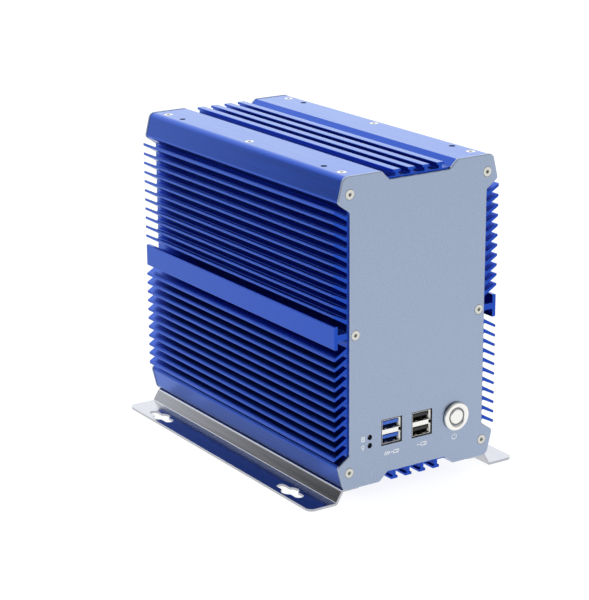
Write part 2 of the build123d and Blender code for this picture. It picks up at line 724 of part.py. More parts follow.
BASE_END = BARREL_END + BASE_PROUD
with BuildPart() as switch_base:
    with BuildSketch(button_plane(BASE_START)):
        Circle(CHAMBER_R - TAP_PLAY)
    extrude(amount=BARREL_END - BASE_START, dir=BACK)
    with BuildSketch(button_plane(BARREL_END)):
        Circle(BARREL_R - 2 * BARREL_PLAY)
    extrude(amount=BASE_PROUD, dir=BACK)
    with BuildSketch(button_plane(BASE_END)):
        with GridLocations(TERMINAL_PITCH, TERMINAL_PITCH, 2, 2):
            Rectangle(TERMINAL[0] + 2 * BARREL_PLAY, TERMINAL[1] + 2 * BARREL_PLAY)
    extrude(amount=-TERMINAL_SINK, dir=BACK, mode=Mode.SUBTRACT)
save(switch_base, "switch_base")

with BuildPart() as switch_terminals:
    with BuildSketch(button_plane(BASE_END - TERMINAL_SINK)):
        with GridLocations(TERMINAL_PITCH, TERMINAL_PITCH, 2, 2):
            Rectangle(*TERMINAL)
    extrude(amount=TERMINAL_LENGTH, dir=BACK)
save(switch_terminals, "switch_terminals")


# ---------------------------------------------------------------- mainboard
def on_board(y, z, width, height, thickness, radius=0.0, start=0.0):
    """Block standing off the component face; width is along Y and height along Z."""
    with BuildSketch(side_plane(COMPONENT_X - start)) as outline:
        with Locations((-y, z)):
            if radius:
                RectangleRounded(width, height, radius=radius)
            else:
                Rectangle(width, height)
    extrude(outline.sketch, amount=thickness)


BOARD_MID_Y = BOARD_REAR - BOARD / 2
BOARD_FIRST_HOLE_Y = BOARD_REAR - BOARD_SCREW_INSET
BOARD_HOLE_YS = (BOARD_FIRST_HOLE_Y, BOARD_FIRST_HOLE_Y - BOARD_SCREW_PITCH)
BOARD_HOLES = [(y, z) for y in BOARD_HOLE_YS for z in BOARD_HOLE_ZS]
BLOCK_HOLES = [
    (CPU_Y + sy * BLOCK_SCREW_HALF, CPU_Z + sz * BLOCK_SCREW_HALF) for sy in (-1, 1) for sz in (-1, 1)
]
with BuildPart() as mainboard:
    with BuildSketch(side_plane(BOARD_T / 2)):
        with Locations((-BOARD_MID_Y, 0)):
            RectangleRounded(BOARD, BOARD, radius=BOARD_CORNER)
        with Locations(*[(-y, z) for y, z in BOARD_HOLES + BLOCK_HOLES]):
            Circle(M3_CLEAR_R, mode=Mode.SUBTRACT)
    extrude(amount=BOARD_T)
save(mainboard, "mainboard")

SOCKET_T = 3.6
CARRIER = (37.5, 1.6)         # side and thickness of the processor's carrier
LID = (30.0, 2.0)             # side and thickness of the lid on it
CPU_LID = SOCKET_T + CARRIER[1] + LID[1]
with BuildPart() as processor:
    on_board(CPU_Y, CPU_Z, 42.0, 46.0, SOCKET_T, radius=1.5)
    on_board(CPU_Y, CPU_Z, CARRIER[0], CARRIER[0], CARRIER[1], radius=0.8, start=SOCKET_T)
    on_board(CPU_Y, CPU_Z, LID[0], LID[0], LID[1], radius=2.0, start=SOCKET_T + CARRIER[1])
save(processor, "processor")

PAD_T = 0.5
BLOCK_START = CPU_LID + PAD_T
BLOCK_END = WALL_IN + COMPONENT_X - PAD_T
BLOCK_NECK = 34.0
BLOCK_PLATE = 84.0
BLOCK_PLATE_T = 6.0
BLOCK_POST_R = 4.0
with BuildPart() as thermal_pads:
    on_board(CPU_Y, CPU_Z, LID[0], LID[0], PAD_T, start=CPU_LID)
    on_board(CPU_Y, CPU_Z, BLOCK_PLATE, BLOCK_PLATE, PAD_T, start=BLOCK_END)
save(thermal_pads, "thermal_pads")

plate_start = BLOCK_END - BLOCK_PLATE_T
with BuildPart() as heat_transfer_block:
    on_board(CPU_Y, CPU_Z, BLOCK_NECK, BLOCK_NECK, plate_start - BLOCK_START, start=BLOCK_START)
    on_board(CPU_Y, CPU_Z, BLOCK_PLATE, BLOCK_PLATE, BLOCK_PLATE_T, radius=3.0, start=plate_start)
    with BuildSketch(side_plane(COMPONENT_X)):
        with Locations(*[(-y, z) for y, z in BLOCK_HOLES]):
            Circle(BLOCK_POST_R)
    extrude(amount=plate_start)
    with BuildSketch(side_plane(COMPONENT_X)):
        with Locations(*[(-y, z) for y, z in BLOCK_HOLES]):
            Circle(M3_TAP_R)
    extrude(amount=TAP_DEPTH, mode=Mode.SUBTRACT)
save(heat_transfer_block, "heat_transfer_block")

BACKPLATE_T = 2.0
BACKPLATE_RIM = 14.0
with BuildPart() as block_backplate:
    with BuildSketch(side_plane(BOARD_T / 2 + BACKPLATE_T)):
        with Locations((-CPU_Y, CPU_Z)):
            RectangleRounded(BLOCK_PLATE, BLOCK_PLATE, radius=4.5)
            window = BLOCK_PLATE - 2 * BACKPLATE_RIM
            RectangleRounded(window, window, radius=8.0, mode=Mode.SUBTRACT)
        with Locations(*[(-y, z) for y, z in BLOCK_HOLES]):
            Circle(M3_CLEAR_R, mode=Mode.SUBTRACT)
    extrude(amount=BACKPLATE_T)
save(block_backplate, "block_backplate")

block_heads = [
    Plane(origin=(BOARD_T / 2 + BACKPLATE_T, y, MID_Z + z), x_dir=(0, 1, 0), z_dir=(1, 0, 0))
    for y, z in BLOCK_HOLES
]
pan_screws("block_screws", block_heads, BLOCK_SCREW_LENGTH)

MEMORY_YS = (-42.0, -30.0)
MEMORY_Z = 12.0
MEMORY_SOCKET = (6.0, 74.0, 5.2)      # width, length, height off the board
MEMORY_SLOT = (1.4, 68.2)
MEMORY_SLOT_FLOOR = 2.0
MODULE = (1.2, 67.6, 30.0)
MEMORY_CHIP = (3.2, 12.0, 9.0)
MEMORY_CHIP_PITCH = 17.0
CHIPS_PER_MODULE = 4
with BuildPart() as memory_sockets:
    for y in MEMORY_YS:
        on_board(y, MEMORY_Z, *MEMORY_SOCKET)
    with BuildSketch(side_plane(COMPONENT_X - MEMORY_SLOT_FLOOR)):
        with Locations(*[(-y, MEMORY_Z) for y in MEMORY_YS]):
            Rectangle(*MEMORY_SLOT)
    extrude(amount=MEMORY_SOCKET[2], mode=Mode.SUBTRACT)
save(memory_sockets, "memory_sockets")

with BuildPart() as memory_modules:
    for y in MEMORY_YS:
        on_board(y, MEMORY_Z, *MODULE, start=MEMORY_SLOT_FLOOR + TAP_PLAY)
        for index in range(CHIPS_PER_MODULE):
            chip_z = MEMORY_Z + (index - (CHIPS_PER_MODULE - 1) / 2) * MEMORY_CHIP_PITCH
            on_board(y, chip_z, *MEMORY_CHIP, start=12.0)
save(memory_modules, "memory_modules")

COOLER_YZ = (-12.0, -52.0)
COOLER = 34.0
COOLER_BASE_T = 3.0
COOLER_FIN = (1.4, 9.0)       # thickness and height
COOLER_FINS = 8
COOLER_PITCH = 4.4
with BuildPart() as chipset_cooler:
    on_board(*COOLER_YZ, COOLER, COOLER, COOLER_BASE_T, radius=1.0)
    for index in range(COOLER_FINS):
        fin_z = COOLER_YZ[1] + (index - (COOLER_FINS - 1) / 2) * COOLER_PITCH
        on_board(COOLER_YZ[0], fin_z, COOLER, COOLER_FIN[0], COOLER_FIN[1], start=COOLER_BASE_T)
save(chipset_cooler, "chipset_cooler")

COIL = (9.0, 9.0, 5.0)
COIL_PLACES = [(CPU_Y + 30.0 - 12.0 * index, 68.0) for index in range(6)]
with BuildPart() as power_coils:
    for y, z in COIL_PLACES:
        on_board(y, z, *COIL, radius=1.0)
save(power_coils, "power_coils")

CAP_R = 3.15
CAP_HEIGHT = 8.0
CAP_FILLET = 0.6
CAP_PLACES = [(CPU_Y + 26.0 - 11.0 * index, -34.0) for index in range(4)]
CAP_PLACES += [(-56.0, 60.0 - 11.0 * index) for index in range(3)]
with BuildPart() as capacitors:
    with BuildSketch(side_plane(COMPONENT_X)):
        with Locations(*[(-y, z) for y, z in CAP_PLACES]):
            Circle(CAP_R)
    extrude(amount=CAP_HEIGHT)
    fillet(capacitors.faces().filter_by(Axis.X).group_by(Axis.X)[0].edges(), radius=CAP_FILLET)
save(capacitors, "capacitors")

CELL_YZ = (20.0, -62.0)
CELL_R = 10.0
CELL_T = 3.2
CELL_FILLET = 0.5
CELL_PLAY = 0.1
HOLDER_R = 11.8
HOLDER_T = 4.6
HOLDER_FLOOR = 1.2
with BuildPart() as coin_cell_holder:
    with BuildSketch(side_plane(COMPONENT_X)):
        with Locations((-CELL_YZ[0], CELL_YZ[1])):
            Circle(HOLDER_R)
    extrude(amount=HOLDER_T)
    with BuildSketch(side_plane(COMPONENT_X - HOLDER_FLOOR)):
        with Locations((-CELL_YZ[0], CELL_YZ[1])):
            Circle(CELL_R + CELL_PLAY)
    extrude(amount=HOLDER_T, mode=Mode.SUBTRACT)
save(coin_cell_holder, "coin_cell_holder")

with BuildPart() as coin_cell:
    with BuildSketch(side_plane(COMPONENT_X - HOLDER_FLOOR)):
        with Locations((-CELL_YZ[0], CELL_YZ[1])):
            Circle(CELL_R)
    extrude(amount=CELL_T)
    fillet(coin_cell.faces().filter_by(Axis.X).group_by(Axis.X)[0].edges(), radius=CELL_FILLET)
save(coin_cell, "coin_cell")

HEADER_YZ = (-56.0, -20.0)
SATA_YZ = (-54.0, -58.0)
BUTTON_HEADER_YZ = (-57.0, 22.0)
HEADER_H = 8.0
with BuildPart() as board_headers:
    on_board(*HEADER_YZ, 6.0, 26.0, HEADER_H, radius=0.5)
    on_board(*SATA_YZ, 8.0, 16.0, HEADER_H, radius=0.5)
    on_board(*BUTTON_HEADER_YZ, 5.0, 12.0, HEADER_H, radius=0.5)
save(board_headers, "board_headers")

# ---------------------------------------------------------------- board tray
TRAY_Y = (-66.0, 100.0)
TRAY_HALF = COVER_INNER - 0.1
FLANGE_WIDTH = 14.0
DRIVE_Y = -10.0
DRIVE_Z = 20.0
DRIVE = (100.0, 69.85, 7.0)
DRIVE_STAND = 3.0
DRIVE_SCREW_HALF = (38.3, 30.86)
DRIVE_TAP_DEPTH = 4.0
DRIVE_CORNER = 2.5
DRIVE_EDGE = 0.8
SPACER_R = 2.8
DRIVE_HOLES = [
    (DRIVE_Y + sy * DRIVE_SCREW_HALF[0], DRIVE_Z + sz * DRIVE_SCREW_HALF[1])
    for sy in (-1, 1)
    for sz in (-1, 1)
]
TRAY_WINDOWS = [(0, 60.0, 34.0), (-56.0, 110.0, 20.0)]   # height of the middle, width, height
TRAY_WINDOW_CORNER = 6.0
with BuildPart() as board_tray:
    with BuildSketch(side_plane(TRAY_X + TRAY_T)):
        with Locations((-sum(TRAY_Y) / 2, 0)):
            Rectangle(TRAY_Y[1] - TRAY_Y[0], 2 * TRAY_HALF)
        for z, width, height in TRAY_WINDOWS:
            with Locations((-sum(TRAY_Y) / 2, z)):
                RectangleRounded(width, height, radius=TRAY_WINDOW_CORNER, mode=Mode.SUBTRACT)
        with Locations(*[(-y, z) for y, z in BOARD_HOLES + DRIVE_HOLES]):
            Circle(M3_TAP_R, mode=Mode.SUBTRACT)
    extrude(amount=TRAY_T)
    for up in (-1, 1):
        flange_z = MID_Z + up * TRAY_HALF - (TRAY_T if up > 0 else 0)
        with BuildSketch(Plane.XY.offset(flange_z)):
            with Locations((TRAY_X + FLANGE_WIDTH / 2, sum(TRAY_Y) / 2)):
                Rectangle(FLANGE_WIDTH, TRAY_Y[1] - TRAY_Y[0])
            with Locations(*[(TRAY_SCREW_X, y) for y in TRAY_SCREW_YS]):
                Circle(M3_CLEAR_R, mode=Mode.SUBTRACT)
        extrude(amount=TRAY_T)
save(board_tray, "board_tray")

tray_heads = [
    Plane(
        origin=(TRAY_SCREW_X, y, MID_Z + up * (TRAY_HALF - TRAY_T)), x_dir=(1, 0, 0), z_dir=(0, 0, -up)
    )
    for up in (-1, 1)
    for y in TRAY_SCREW_YS
]

standoff_places = [(-y, z) for y, z in BOARD_HOLES]
standoffs("board_standoffs", side_plane(TRAY_X), standoff_places, TRAY_X - BOARD_T / 2, TRAY_T)

mainboard_heads = [
    Plane(origin=(COMPONENT_X, y, MID_Z + z), x_dir=(0, 1, 0), z_dir=(-1, 0, 0)) for y, z in BOARD_HOLES
]
pan_screws("board_screws", port_board_heads + tray_heads + mainboard_heads, BOARD_SCREW_LENGTH)

DRIVE_X = TRAY_X + TRAY_T + DRIVE_STAND
with BuildPart() as solid_state_drive:
    with BuildSketch(side_plane(DRIVE_X)):
        with Locations((-DRIVE_Y, DRIVE_Z)):
            RectangleRounded(DRIVE[0], DRIVE[1], radius=DRIVE_CORNER)
    extrude(amount=-DRIVE[2])
    with BuildSketch(side_plane(DRIVE_X)):
        with Locations(*[(-y, z) for y, z in DRIVE_HOLES]):
            Circle(M3_TAP_R)
    extrude(amount=-DRIVE_TAP_DEPTH, mode=Mode.SUBTRACT)
    fillet(solid_state_drive.faces().sort_by(Axis.X)[-1].edges(), radius=DRIVE_EDGE)
save(solid_state_drive, "solid_state_drive")

with BuildPart() as drive_spacers:
    with BuildSketch(side_plane(DRIVE_X)):
        with Locations(*[(-y, z) for y, z in DRIVE_HOLES]):
            Circle(SPACER_R)
            Circle(M3_TAP_R, mode=Mode.SUBTRACT)
    extrude(amount=DRIVE_STAND)
save(drive_spacers, "drive_spacers")

drive_heads = [
    Plane(origin=(TRAY_X, y, MID_Z + z), x_dir=(0, 1, 0), z_dir=(-1, 0, 0)) for y, z in DRIVE_HOLES
]
pan_screws("drive_screws", drive_heads, DRIVE_SCREW_LENGTH)


# ---------------------------------------------------------------- rear ports
REAR_FACE = REAR_Y - 0.4      # the sockets' mouths, just inside the rear panel's face


def rear_block(z, width, height, depth):
    """Block at the board's rear edge; its width is along X, out from the board."""
    with BuildSketch(front_plane(REAR_FACE)) as outline:
        with Locations((COMPONENT_X - width / 2, z)):
            Rectangle(width, height)
    extrude(outline.sketch, amount=depth)


def rear_cavity(x, z, width, height, depth, radius=0.3):
    with BuildSketch(front_plane(REAR_FACE)) as outline:
        with Locations((x, z)):
            RectangleRounded(width, height, radius=radius)
    extrude(outline.sketch, amount=depth, mode=Mode.SUBTRACT)


LAN_ZS = (-18.0, 8.0)
LAN = (29.0, 16.4, 17.0)      # width out from the board, height, depth
USB_XS = (COMPONENT_X - 4.0, COMPONENT_X - 12.0)
JACK_X = COMPONENT_X - 21.8
JACK = (8.6, 12.4, 14.5)
with BuildPart() as network_usb_shells:
    for z in LAN_ZS:
        rear_block(z, *LAN)
    for z in LAN_ZS:
        for x in USB_XS:
            rear_cavity(x, z, CAVITY[1], CAVITY[0], LAN[2])
        rear_cavity(JACK_X, z, *JACK)
save(network_usb_shells, "network_usb_shells")

rear_usb = [(x, z) for z in LAN_ZS for x in USB_XS]
with BuildPart() as network_usb_tongues:
    with BuildSketch(front_plane(REAR_FACE - INSERT_START)):
        with Locations(*rear_usb):
            Rectangle(CAVITY[1] - INSERT_PLAY, CAVITY[0] - INSERT_PLAY)
    extrude(amount=LAN[2] - INSERT_START)
    with BuildSketch(front_plane(REAR_FACE - TONGUE_SETBACK)):
        with Locations(*[(x - TONGUE_OFFSET, z) for x, z in rear_usb]):
            Rectangle(TONGUE[1], TONGUE[0])
    extrude(amount=INSERT_START - TONGUE_SETBACK)
save(network_usb_tongues, "network_usb_tongues")

VIDEO_ZS = (-58.0, -39.0)
VIDEO = (6.6, 16.0, 12.0)
VIDEO_CAVITY = (4.8, 14.4)
VIDEO_TONGUE = (1.4, 11.6)
VIDEO_INSERT_START = 9.0
with BuildPart() as video_shells:
    for z in VIDEO_ZS:
        rear_block(z, *VIDEO)
    for z in VIDEO_ZS:
        rear_cavity(COMPONENT_X - VIDEO[0] / 2, z, *VIDEO_CAVITY, VIDEO[2])
save(video_shells, "video_shells")

video_sockets = [(COMPONENT_X - VIDEO[0] / 2, z) for z in VIDEO_ZS]
with BuildPart() as video_tongues:
    with BuildSketch(front_plane(REAR_FACE - VIDEO_INSERT_START)):
        with Locations(*video_sockets):
            Rectangle(VIDEO_CAVITY[0] - INSERT_PLAY, VIDEO_CAVITY[1] - INSERT_PLAY)
    extrude(amount=VIDEO[2] - VIDEO_INSERT_START)
    with BuildSketch(front_plane(REAR_FACE - TONGUE_SETBACK)):
        with Locations(*video_sockets):
            Rectangle(*VIDEO_TONGUE)
    extrude(amount=VIDEO_INSERT_START - TONGUE_SETBACK)
save(video_tongues, "video_tongues")

AUDIO_ZS = (34.0, 47.0)
AUDIO = (11.0, 11.0, 14.0)
AUDIO_BORE_R = 1.8
AUDIO_BORE_DEPTH = 12.0
with BuildPart() as audio_sockets:
    for z in AUDIO_ZS:
        rear_block(z, *AUDIO)
    with BuildSketch(front_plane(REAR_FACE)):
        with Locations(*[(COMPONENT_X - AUDIO[0] / 2, z) for z in AUDIO_ZS]):
            Circle(AUDIO_BORE_R)
    extrude(amount=AUDIO_BORE_DEPTH, mode=Mode.SUBTRACT)
save(audio_sockets, "audio_sockets")

DC_Z = 66.0
DC = (12.0, 11.0, 14.0)
DC_BORE_R = 3.1
DC_PIN_R = 1.0
DC_BORE_DEPTH = 10.0
with BuildPart() as power_socket:
    rear_block(DC_Z, *DC)
    with BuildSketch(front_plane(REAR_FACE)):
        with Locations((COMPONENT_X - DC[0] / 2, DC_Z)):
            Circle(DC_BORE_R)
            Circle(DC_PIN_R, mode=Mode.SUBTRACT)
    extrude(amount=DC_BORE_DEPTH, mode=Mode.SUBTRACT)
save(power_socket, "power_socket")

SHIELD_CUT_PLAY = 0.6
with BuildPart() as port_shield:
    with BuildSketch(front_plane(REAR_Y - PANEL_T)):
        with Locations(((SHIELD_X[0] + SHIELD_X[1]) / 2, 0)):
            Rectangle(SHIELD_X[1] - SHIELD_X[0], 2 * SHIELD_HALF)
        sockets = [(z, LAN) for z in LAN_ZS]
        sockets += [(z, VIDEO) for z in VIDEO_ZS]
        sockets += [(z, AUDIO) for z in AUDIO_ZS]
        sockets += [(DC_Z, DC)]
        for z, (width, height, _) in sockets:
            with Locations((COMPONENT_X - width / 2, z)):
                Rectangle(width + SHIELD_CUT_PLAY, height + SHIELD_CUT_PLAY, mode=Mode.SUBTRACT)
    extrude(amount=SHIELD_T)
save(port_shield, "port_shield")

PLUG_PROUD = -min(HEAD_FRONT, PLUNGER_FRONT)      # as far behind the case as the button stands in front of it
PLUG_HEAD_R = 4.6
PLUG_HEAD_FILLET = 1.0
PLUG_BARB_R = 4.1
PLUG_BARB_T = 1.6
with BuildPart() as aerial_hole_plugs:
    with BuildSketch(front_plane(REAR_Y)):
        with Locations(*AERIAL_HOLES):
            Circle(PLUG_HEAD_R)
    extrude(amount=-PLUG_PROUD)
    fillet(aerial_hole_plugs.faces().filter_by(Axis.Y).group_by(Axis.Y)[-1].edges(), radius=PLUG_HEAD_FILLET)
    with BuildSketch(front_plane(REAR_Y)):
        with Locations(*AERIAL_HOLES):
            Circle(AERIAL_R - TAP_PLAY)
    extrude(amount=PANEL_T)
    with BuildSketch(front_plane(REAR_Y - PANEL_T)):
        with Locations(*AERIAL_HOLES):
            Circle(PLUG_BARB_R)
    extrude(amount=PLUG_BARB_T)
save(aerial_hole_plugs, "aerial_hole_plugs")


# ---------------------------------------------------------------- internal leads
def lead(name, route, radii, diameter):
    """Round lead along straight runs joined by arcs; heights are from mid height."""
    with BuildPart() as cable:
        with BuildLine() as line:
            FilletPolyline(*[(x, y, MID_Z + z) for x, y, z in route], radius=radii)
        with BuildSketch(Plane(origin=line.line @ 0, z_dir=line.line % 0)):
            Circle(diameter / 2)
        sweep(path=line.line)
    save(cable, name)


PORT_HEADER = (-20.0, -86.0)
with BuildPart() as front_port_header:
    with BuildSketch(Plane.XY.offset(MID_Z + IO_BOARD_TOP)):
        with Locations(PORT_HEADER):
            RectangleRounded(12.0, 5.0, radius=0.5)
    extrude(amount=HEADER_H)
save(front_port_header, "front_port_header")

header_face = COMPONENT_X - HEADER_H
port_y = PORT_HEADER[1]
port_x = PORT_HEADER[0]
port_route = [
    (port_x, port_y, IO_BOARD_TOP + HEADER_H),
    (port_x, port_y, HEADER_YZ[1]),
    (port_x, HEADER_YZ[0], HEADER_YZ[1]),
    (header_face, HEADER_YZ[0], HEADER_YZ[1]),
]
lead("front_port_lead", port_route, radii=[8.0, 5.0], diameter=4.5)

button_back = FRONT_Y + BASE_END - TERMINAL_SINK + TERMINAL_LENGTH
clear_y = -74.0               # between the tray and the front panel
clear_x = -18.0               # beside the board's headers
button_route = [
    (BUTTON_X, button_back, BUTTON_Z),
    (BUTTON_X, clear_y, BUTTON_Z),
    (BUTTON_X, clear_y, BUTTON_HEADER_YZ[1]),
    (clear_x, clear_y, BUTTON_HEADER_YZ[1]),
    (clear_x, BUTTON_HEADER_YZ[0], BUTTON_HEADER_YZ[1]),
    (header_face, BUTTON_HEADER_YZ[0], BUTTON_HEADER_YZ[1]),
]
lead("button_lead", button_route, radii=[4.0, 8.0, 8.0, 4.0], diameter=3.0)

drive_front = DRIVE_Y - DRIVE[0] / 2
drive_turn_y = drive_front - 10.0
drive_mid_x = DRIVE_X + DRIVE[2] / 2
drive_turn_x = -16.0
drive_route = [
    (drive_mid_x, drive_front, 0),
    (drive_mid_x, drive_turn_y, 0),
    (drive_mid_x, drive_turn_y, SATA_YZ[1]),
    (drive_turn_x, drive_turn_y, SATA_YZ[1]),
    (drive_turn_x, SATA_YZ[0], SATA_YZ[1]),
    (header_face, SATA_YZ[0], SATA_YZ[1]),
]
lead("drive_lead", drive_route, radii=[5.0, 8.0, 5.0, 4.0], diameter=3.4)
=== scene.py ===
"""Looks of the fanless box computer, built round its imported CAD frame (metres, +Z up, front towards -Y)."""
import json
import math

import bmesh
import bpy
from mathutils import Matrix, Quaternion, Vector


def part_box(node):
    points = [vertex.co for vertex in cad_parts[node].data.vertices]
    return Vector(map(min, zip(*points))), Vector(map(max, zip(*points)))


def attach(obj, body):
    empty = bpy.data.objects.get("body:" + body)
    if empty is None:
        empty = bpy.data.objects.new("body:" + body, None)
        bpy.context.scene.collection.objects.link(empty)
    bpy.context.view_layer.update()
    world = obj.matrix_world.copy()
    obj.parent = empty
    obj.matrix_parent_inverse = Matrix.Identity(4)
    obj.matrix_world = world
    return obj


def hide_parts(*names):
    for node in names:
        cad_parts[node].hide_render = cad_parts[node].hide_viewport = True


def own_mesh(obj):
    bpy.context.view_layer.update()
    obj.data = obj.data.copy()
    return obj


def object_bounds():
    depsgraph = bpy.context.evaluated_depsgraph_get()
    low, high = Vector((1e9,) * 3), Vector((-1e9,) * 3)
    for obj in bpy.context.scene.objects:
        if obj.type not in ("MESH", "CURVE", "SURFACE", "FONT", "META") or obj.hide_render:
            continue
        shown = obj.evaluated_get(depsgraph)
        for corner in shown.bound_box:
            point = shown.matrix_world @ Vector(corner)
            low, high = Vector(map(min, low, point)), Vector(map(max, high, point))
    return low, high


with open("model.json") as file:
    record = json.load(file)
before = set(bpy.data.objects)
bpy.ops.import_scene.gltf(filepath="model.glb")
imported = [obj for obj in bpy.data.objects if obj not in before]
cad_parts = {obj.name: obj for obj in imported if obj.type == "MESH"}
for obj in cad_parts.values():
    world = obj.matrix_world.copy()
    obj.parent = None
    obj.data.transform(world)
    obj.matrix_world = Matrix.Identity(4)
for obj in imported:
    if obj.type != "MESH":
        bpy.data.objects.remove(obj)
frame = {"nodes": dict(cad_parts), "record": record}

MM = 0.001
scene = bpy.context.scene
cad_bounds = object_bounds()

# ---------------------------------------------------------------- places taken from the frame
panel_low, panel_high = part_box("front_panel")
FRONT_Y = panel_low.y
MID_Z = (panel_low.z + panel_high.z) / 2
button_low, button_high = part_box("button_housing")
BUTTON_AXIS = ((button_low.x + button_high.x) / 2, (button_low.z + button_high.z) / 2)

# ---------------------------------------------------------------- camera
CAMERA_TARGET = Vector((-0.0250, -0.0160, 0.0980))
CAMERA_AZIMUTH = math.radians(-33.30)
CAMERA_ELEVATION = math.radians(16.96)
CAMERA_ROLL = math.radians(-0.36)
CAMERA_DISTANCE = 1.2341
CAMERA_LENS = 119.0
CAMERA_CLIP = (0.05, 50.0)


def make_camera():
    """Camera at the viewing angle, a long lens far from the object."""
    back = Vector((
        math.sin(CAMERA_AZIMUTH) * math.cos(CAMERA_ELEVATION),
        -math.cos(CAMERA_AZIMUTH) * math.cos(CAMERA_ELEVATION),
        math.sin(CAMERA_ELEVATION),
    ))
    camera = bpy.data.objects.new("camera", bpy.data.cameras.new("camera"))
    camera.data.lens = CAMERA_LENS
    camera.data.clip_start, camera.data.clip_end = CAMERA_CLIP
    camera.rotation_mode = "QUATERNION"
    camera.location = CAMERA_TARGET + back * CAMERA_DISTANCE
    camera.rotation_quaternion = (-back).to_track_quat("-Z", "Y") @ Quaternion((0, 0, 1), CAMERA_ROLL)
    scene.collection.objects.link(camera)
    scene.camera = camera


# ---------------------------------------------------------------- light
ROOM_LIGHT = 0.55
ROOM_COLOR = (0.98, 0.99, 1.0, 1.0)
ROOM_PATCHES = (      # azimuth from +Y towards +X and height in degrees, angles where it is full and gone, light
    (27, 0, 56, 63, 1.52),        # backdrop behind the object
    (-62, 8, 25, 31, 0.05),       # dark side of the room, left of the backdrop
    (-161, 36, 15, 23, 0.10),     # dark corner above the camera
)
FILL_PLACE = Vector((-0.9, -1.6, 1.0))
FILL_TARGET = Vector((0.0, 0.0, 0.1))
FILL_SIZE = (1.6, 1.2)
FILL_POWER = 9.0


def make_world():
    """A grey room with a wide bright backdrop behind the object and two dark places for the metal to mirror."""
    world = bpy.data.worlds.new("studio")
    world.use_nodes = True
    scene.world = world
    nodes, links = world.node_tree.nodes, world.node_tree.links
    coords = nodes.new("ShaderNodeTexCoord")
    light = None
    for azimuth, height, full, gone, strength in ROOM_PATCHES:
        azimuth, height = math.radians(azimuth), math.radians(height)
        towards = nodes.new("ShaderNodeVectorMath")
        towards.operation = "DOT_PRODUCT"
        towards.inputs[1].default_value = (
            math.sin(azimuth) * math.cos(height), math.cos(azimuth) * math.cos(height), math.sin(height))
        share = nodes.new("ShaderNodeMapRange")
        share.interpolation_type = "SMOOTHSTEP"
        share.inputs["From Min"].default_value = math.cos(math.radians(gone))
        share.inputs["From Max"].default_value = math.cos(math.radians(full))
        mix = nodes.new("ShaderNodeMix")
        mix.inputs["A"].default_value = ROOM_LIGHT
        mix.inputs["B"].default_value = strength
        links.new(coords.outputs["Generated"], towards.inputs[0])
        links.new(towards.outputs["Value"], share.inputs["Value"])
        links.new(share.outputs["Result"], mix.inputs["Factor"])
        if light:
            links.new(light, mix.inputs["A"])
        light = mix.outputs["Result"]
    links.new(light, nodes["Background"].inputs["Strength"])
    nodes["Background"].inputs["Color"].default_value = ROOM_COLOR


def make_fill_light():
    """Soft light from the front left, which metal doesn't mirror."""
    light = bpy.data.lights.new("front_fill", "AREA")
    light.shape = "RECTANGLE"
    light.size, light.size_y = FILL_SIZE
    light.energy = FILL_POWER
    lamp = bpy.data.objects.new("front_fill", light)
    lamp.location = FILL_PLACE
    lamp.rotation_mode = "QUATERNION"
    lamp.rotation_quaternion = (FILL_TARGET - FILL_PLACE).to_track_quat("-Z", "Y")
    lamp.visible_glossy = False
    scene.collection.objects.link(lamp)


# ---------------------------------------------------------------- materials
NOISE_RANGE = (0.3, 0.7)      # nearly all of a noise texture's values
EDGE_COSINE = 0.75            # between the face's normal and the rounded one on a sharp corner, where the painted highlight (or the nickel's painted shade) along edges is full
BROAD_GRAIN = (9.0, 9.0, 9.0)
BROAD_SHARE = 0.35            # of the fine tint that broad clouds take away


def new_material(name, color, metallic, roughness, **sockets):
    """Material with plain values on its shader; a socket's name has _ for each space."""
    material = bpy.data.materials.new(name)
    material.use_nodes = True
    shader = material.node_tree.nodes["Principled BSDF"]
    shader.inputs["Base Color"].default_value = (*color, 1.0)
    shader.inputs["Metallic"].default_value = metallic
    shader.inputs["Roughness"].default_value = roughness
    for socket, value in sockets.items():
        shader.inputs[socket.replace("_", " ")].default_value = value
    return material


def texture(material, kind, scale, **inputs):
    """Texture node on the piece's own coordinates, scale in repeats per metre along X, Y and Z."""
    nodes, links = material.node_tree.nodes, material.node_tree.links
    coords = nodes.new("ShaderNodeTexCoord")
    mapping = nodes.new("ShaderNodeMapping")
    mapping.inputs["Scale"].default_value = scale
    pattern = nodes.new(kind)
    pattern.inputs["Scale"].default_value = 1.0
    for socket, value in inputs.items():
        pattern.inputs[socket].default_value = value
    links.new(coords.outputs["Object"], mapping.inputs["Vector"])
    links.new(mapping.outputs["Vector"], pattern.inputs["Vector"])
    return pattern


def ranged(material, source, low, high):
    """The source's middle range stretched to run from low to high."""
    nodes, links = material.node_tree.nodes, material.node_tree.links
    spread = nodes.new("ShaderNodeMapRange")
    spread.inputs["From Min"].default_value, spread.inputs["From Max"].default_value = NOISE_RANGE
    spread.inputs["To Min"].default_value = low
    spread.inputs["To Max"].default_value = high
    links.new(source, spread.inputs["Value"])
    return spread.outputs["Result"]


def mixed(material, factor, first, second):
    """Colour between first and second; each is a colour or another node's output."""
    nodes, links = material.node_tree.nodes, material.node_tree.links
    mix = nodes.new("ShaderNodeMix")
    mix.data_type = "RGBA"
    links.new(factor, mix.inputs["Factor"])
    for socket, value in (("A", first), ("B", second)):
        target = [s for s in mix.inputs if s.name == socket and s.type == "RGBA"][0]
        if isinstance(value, bpy.types.NodeSocket):
            links.new(value, target)
        else:
            target.default_value = (*value, 1.0)
    return [s for s in mix.outputs if s.type == "RGBA"][0]


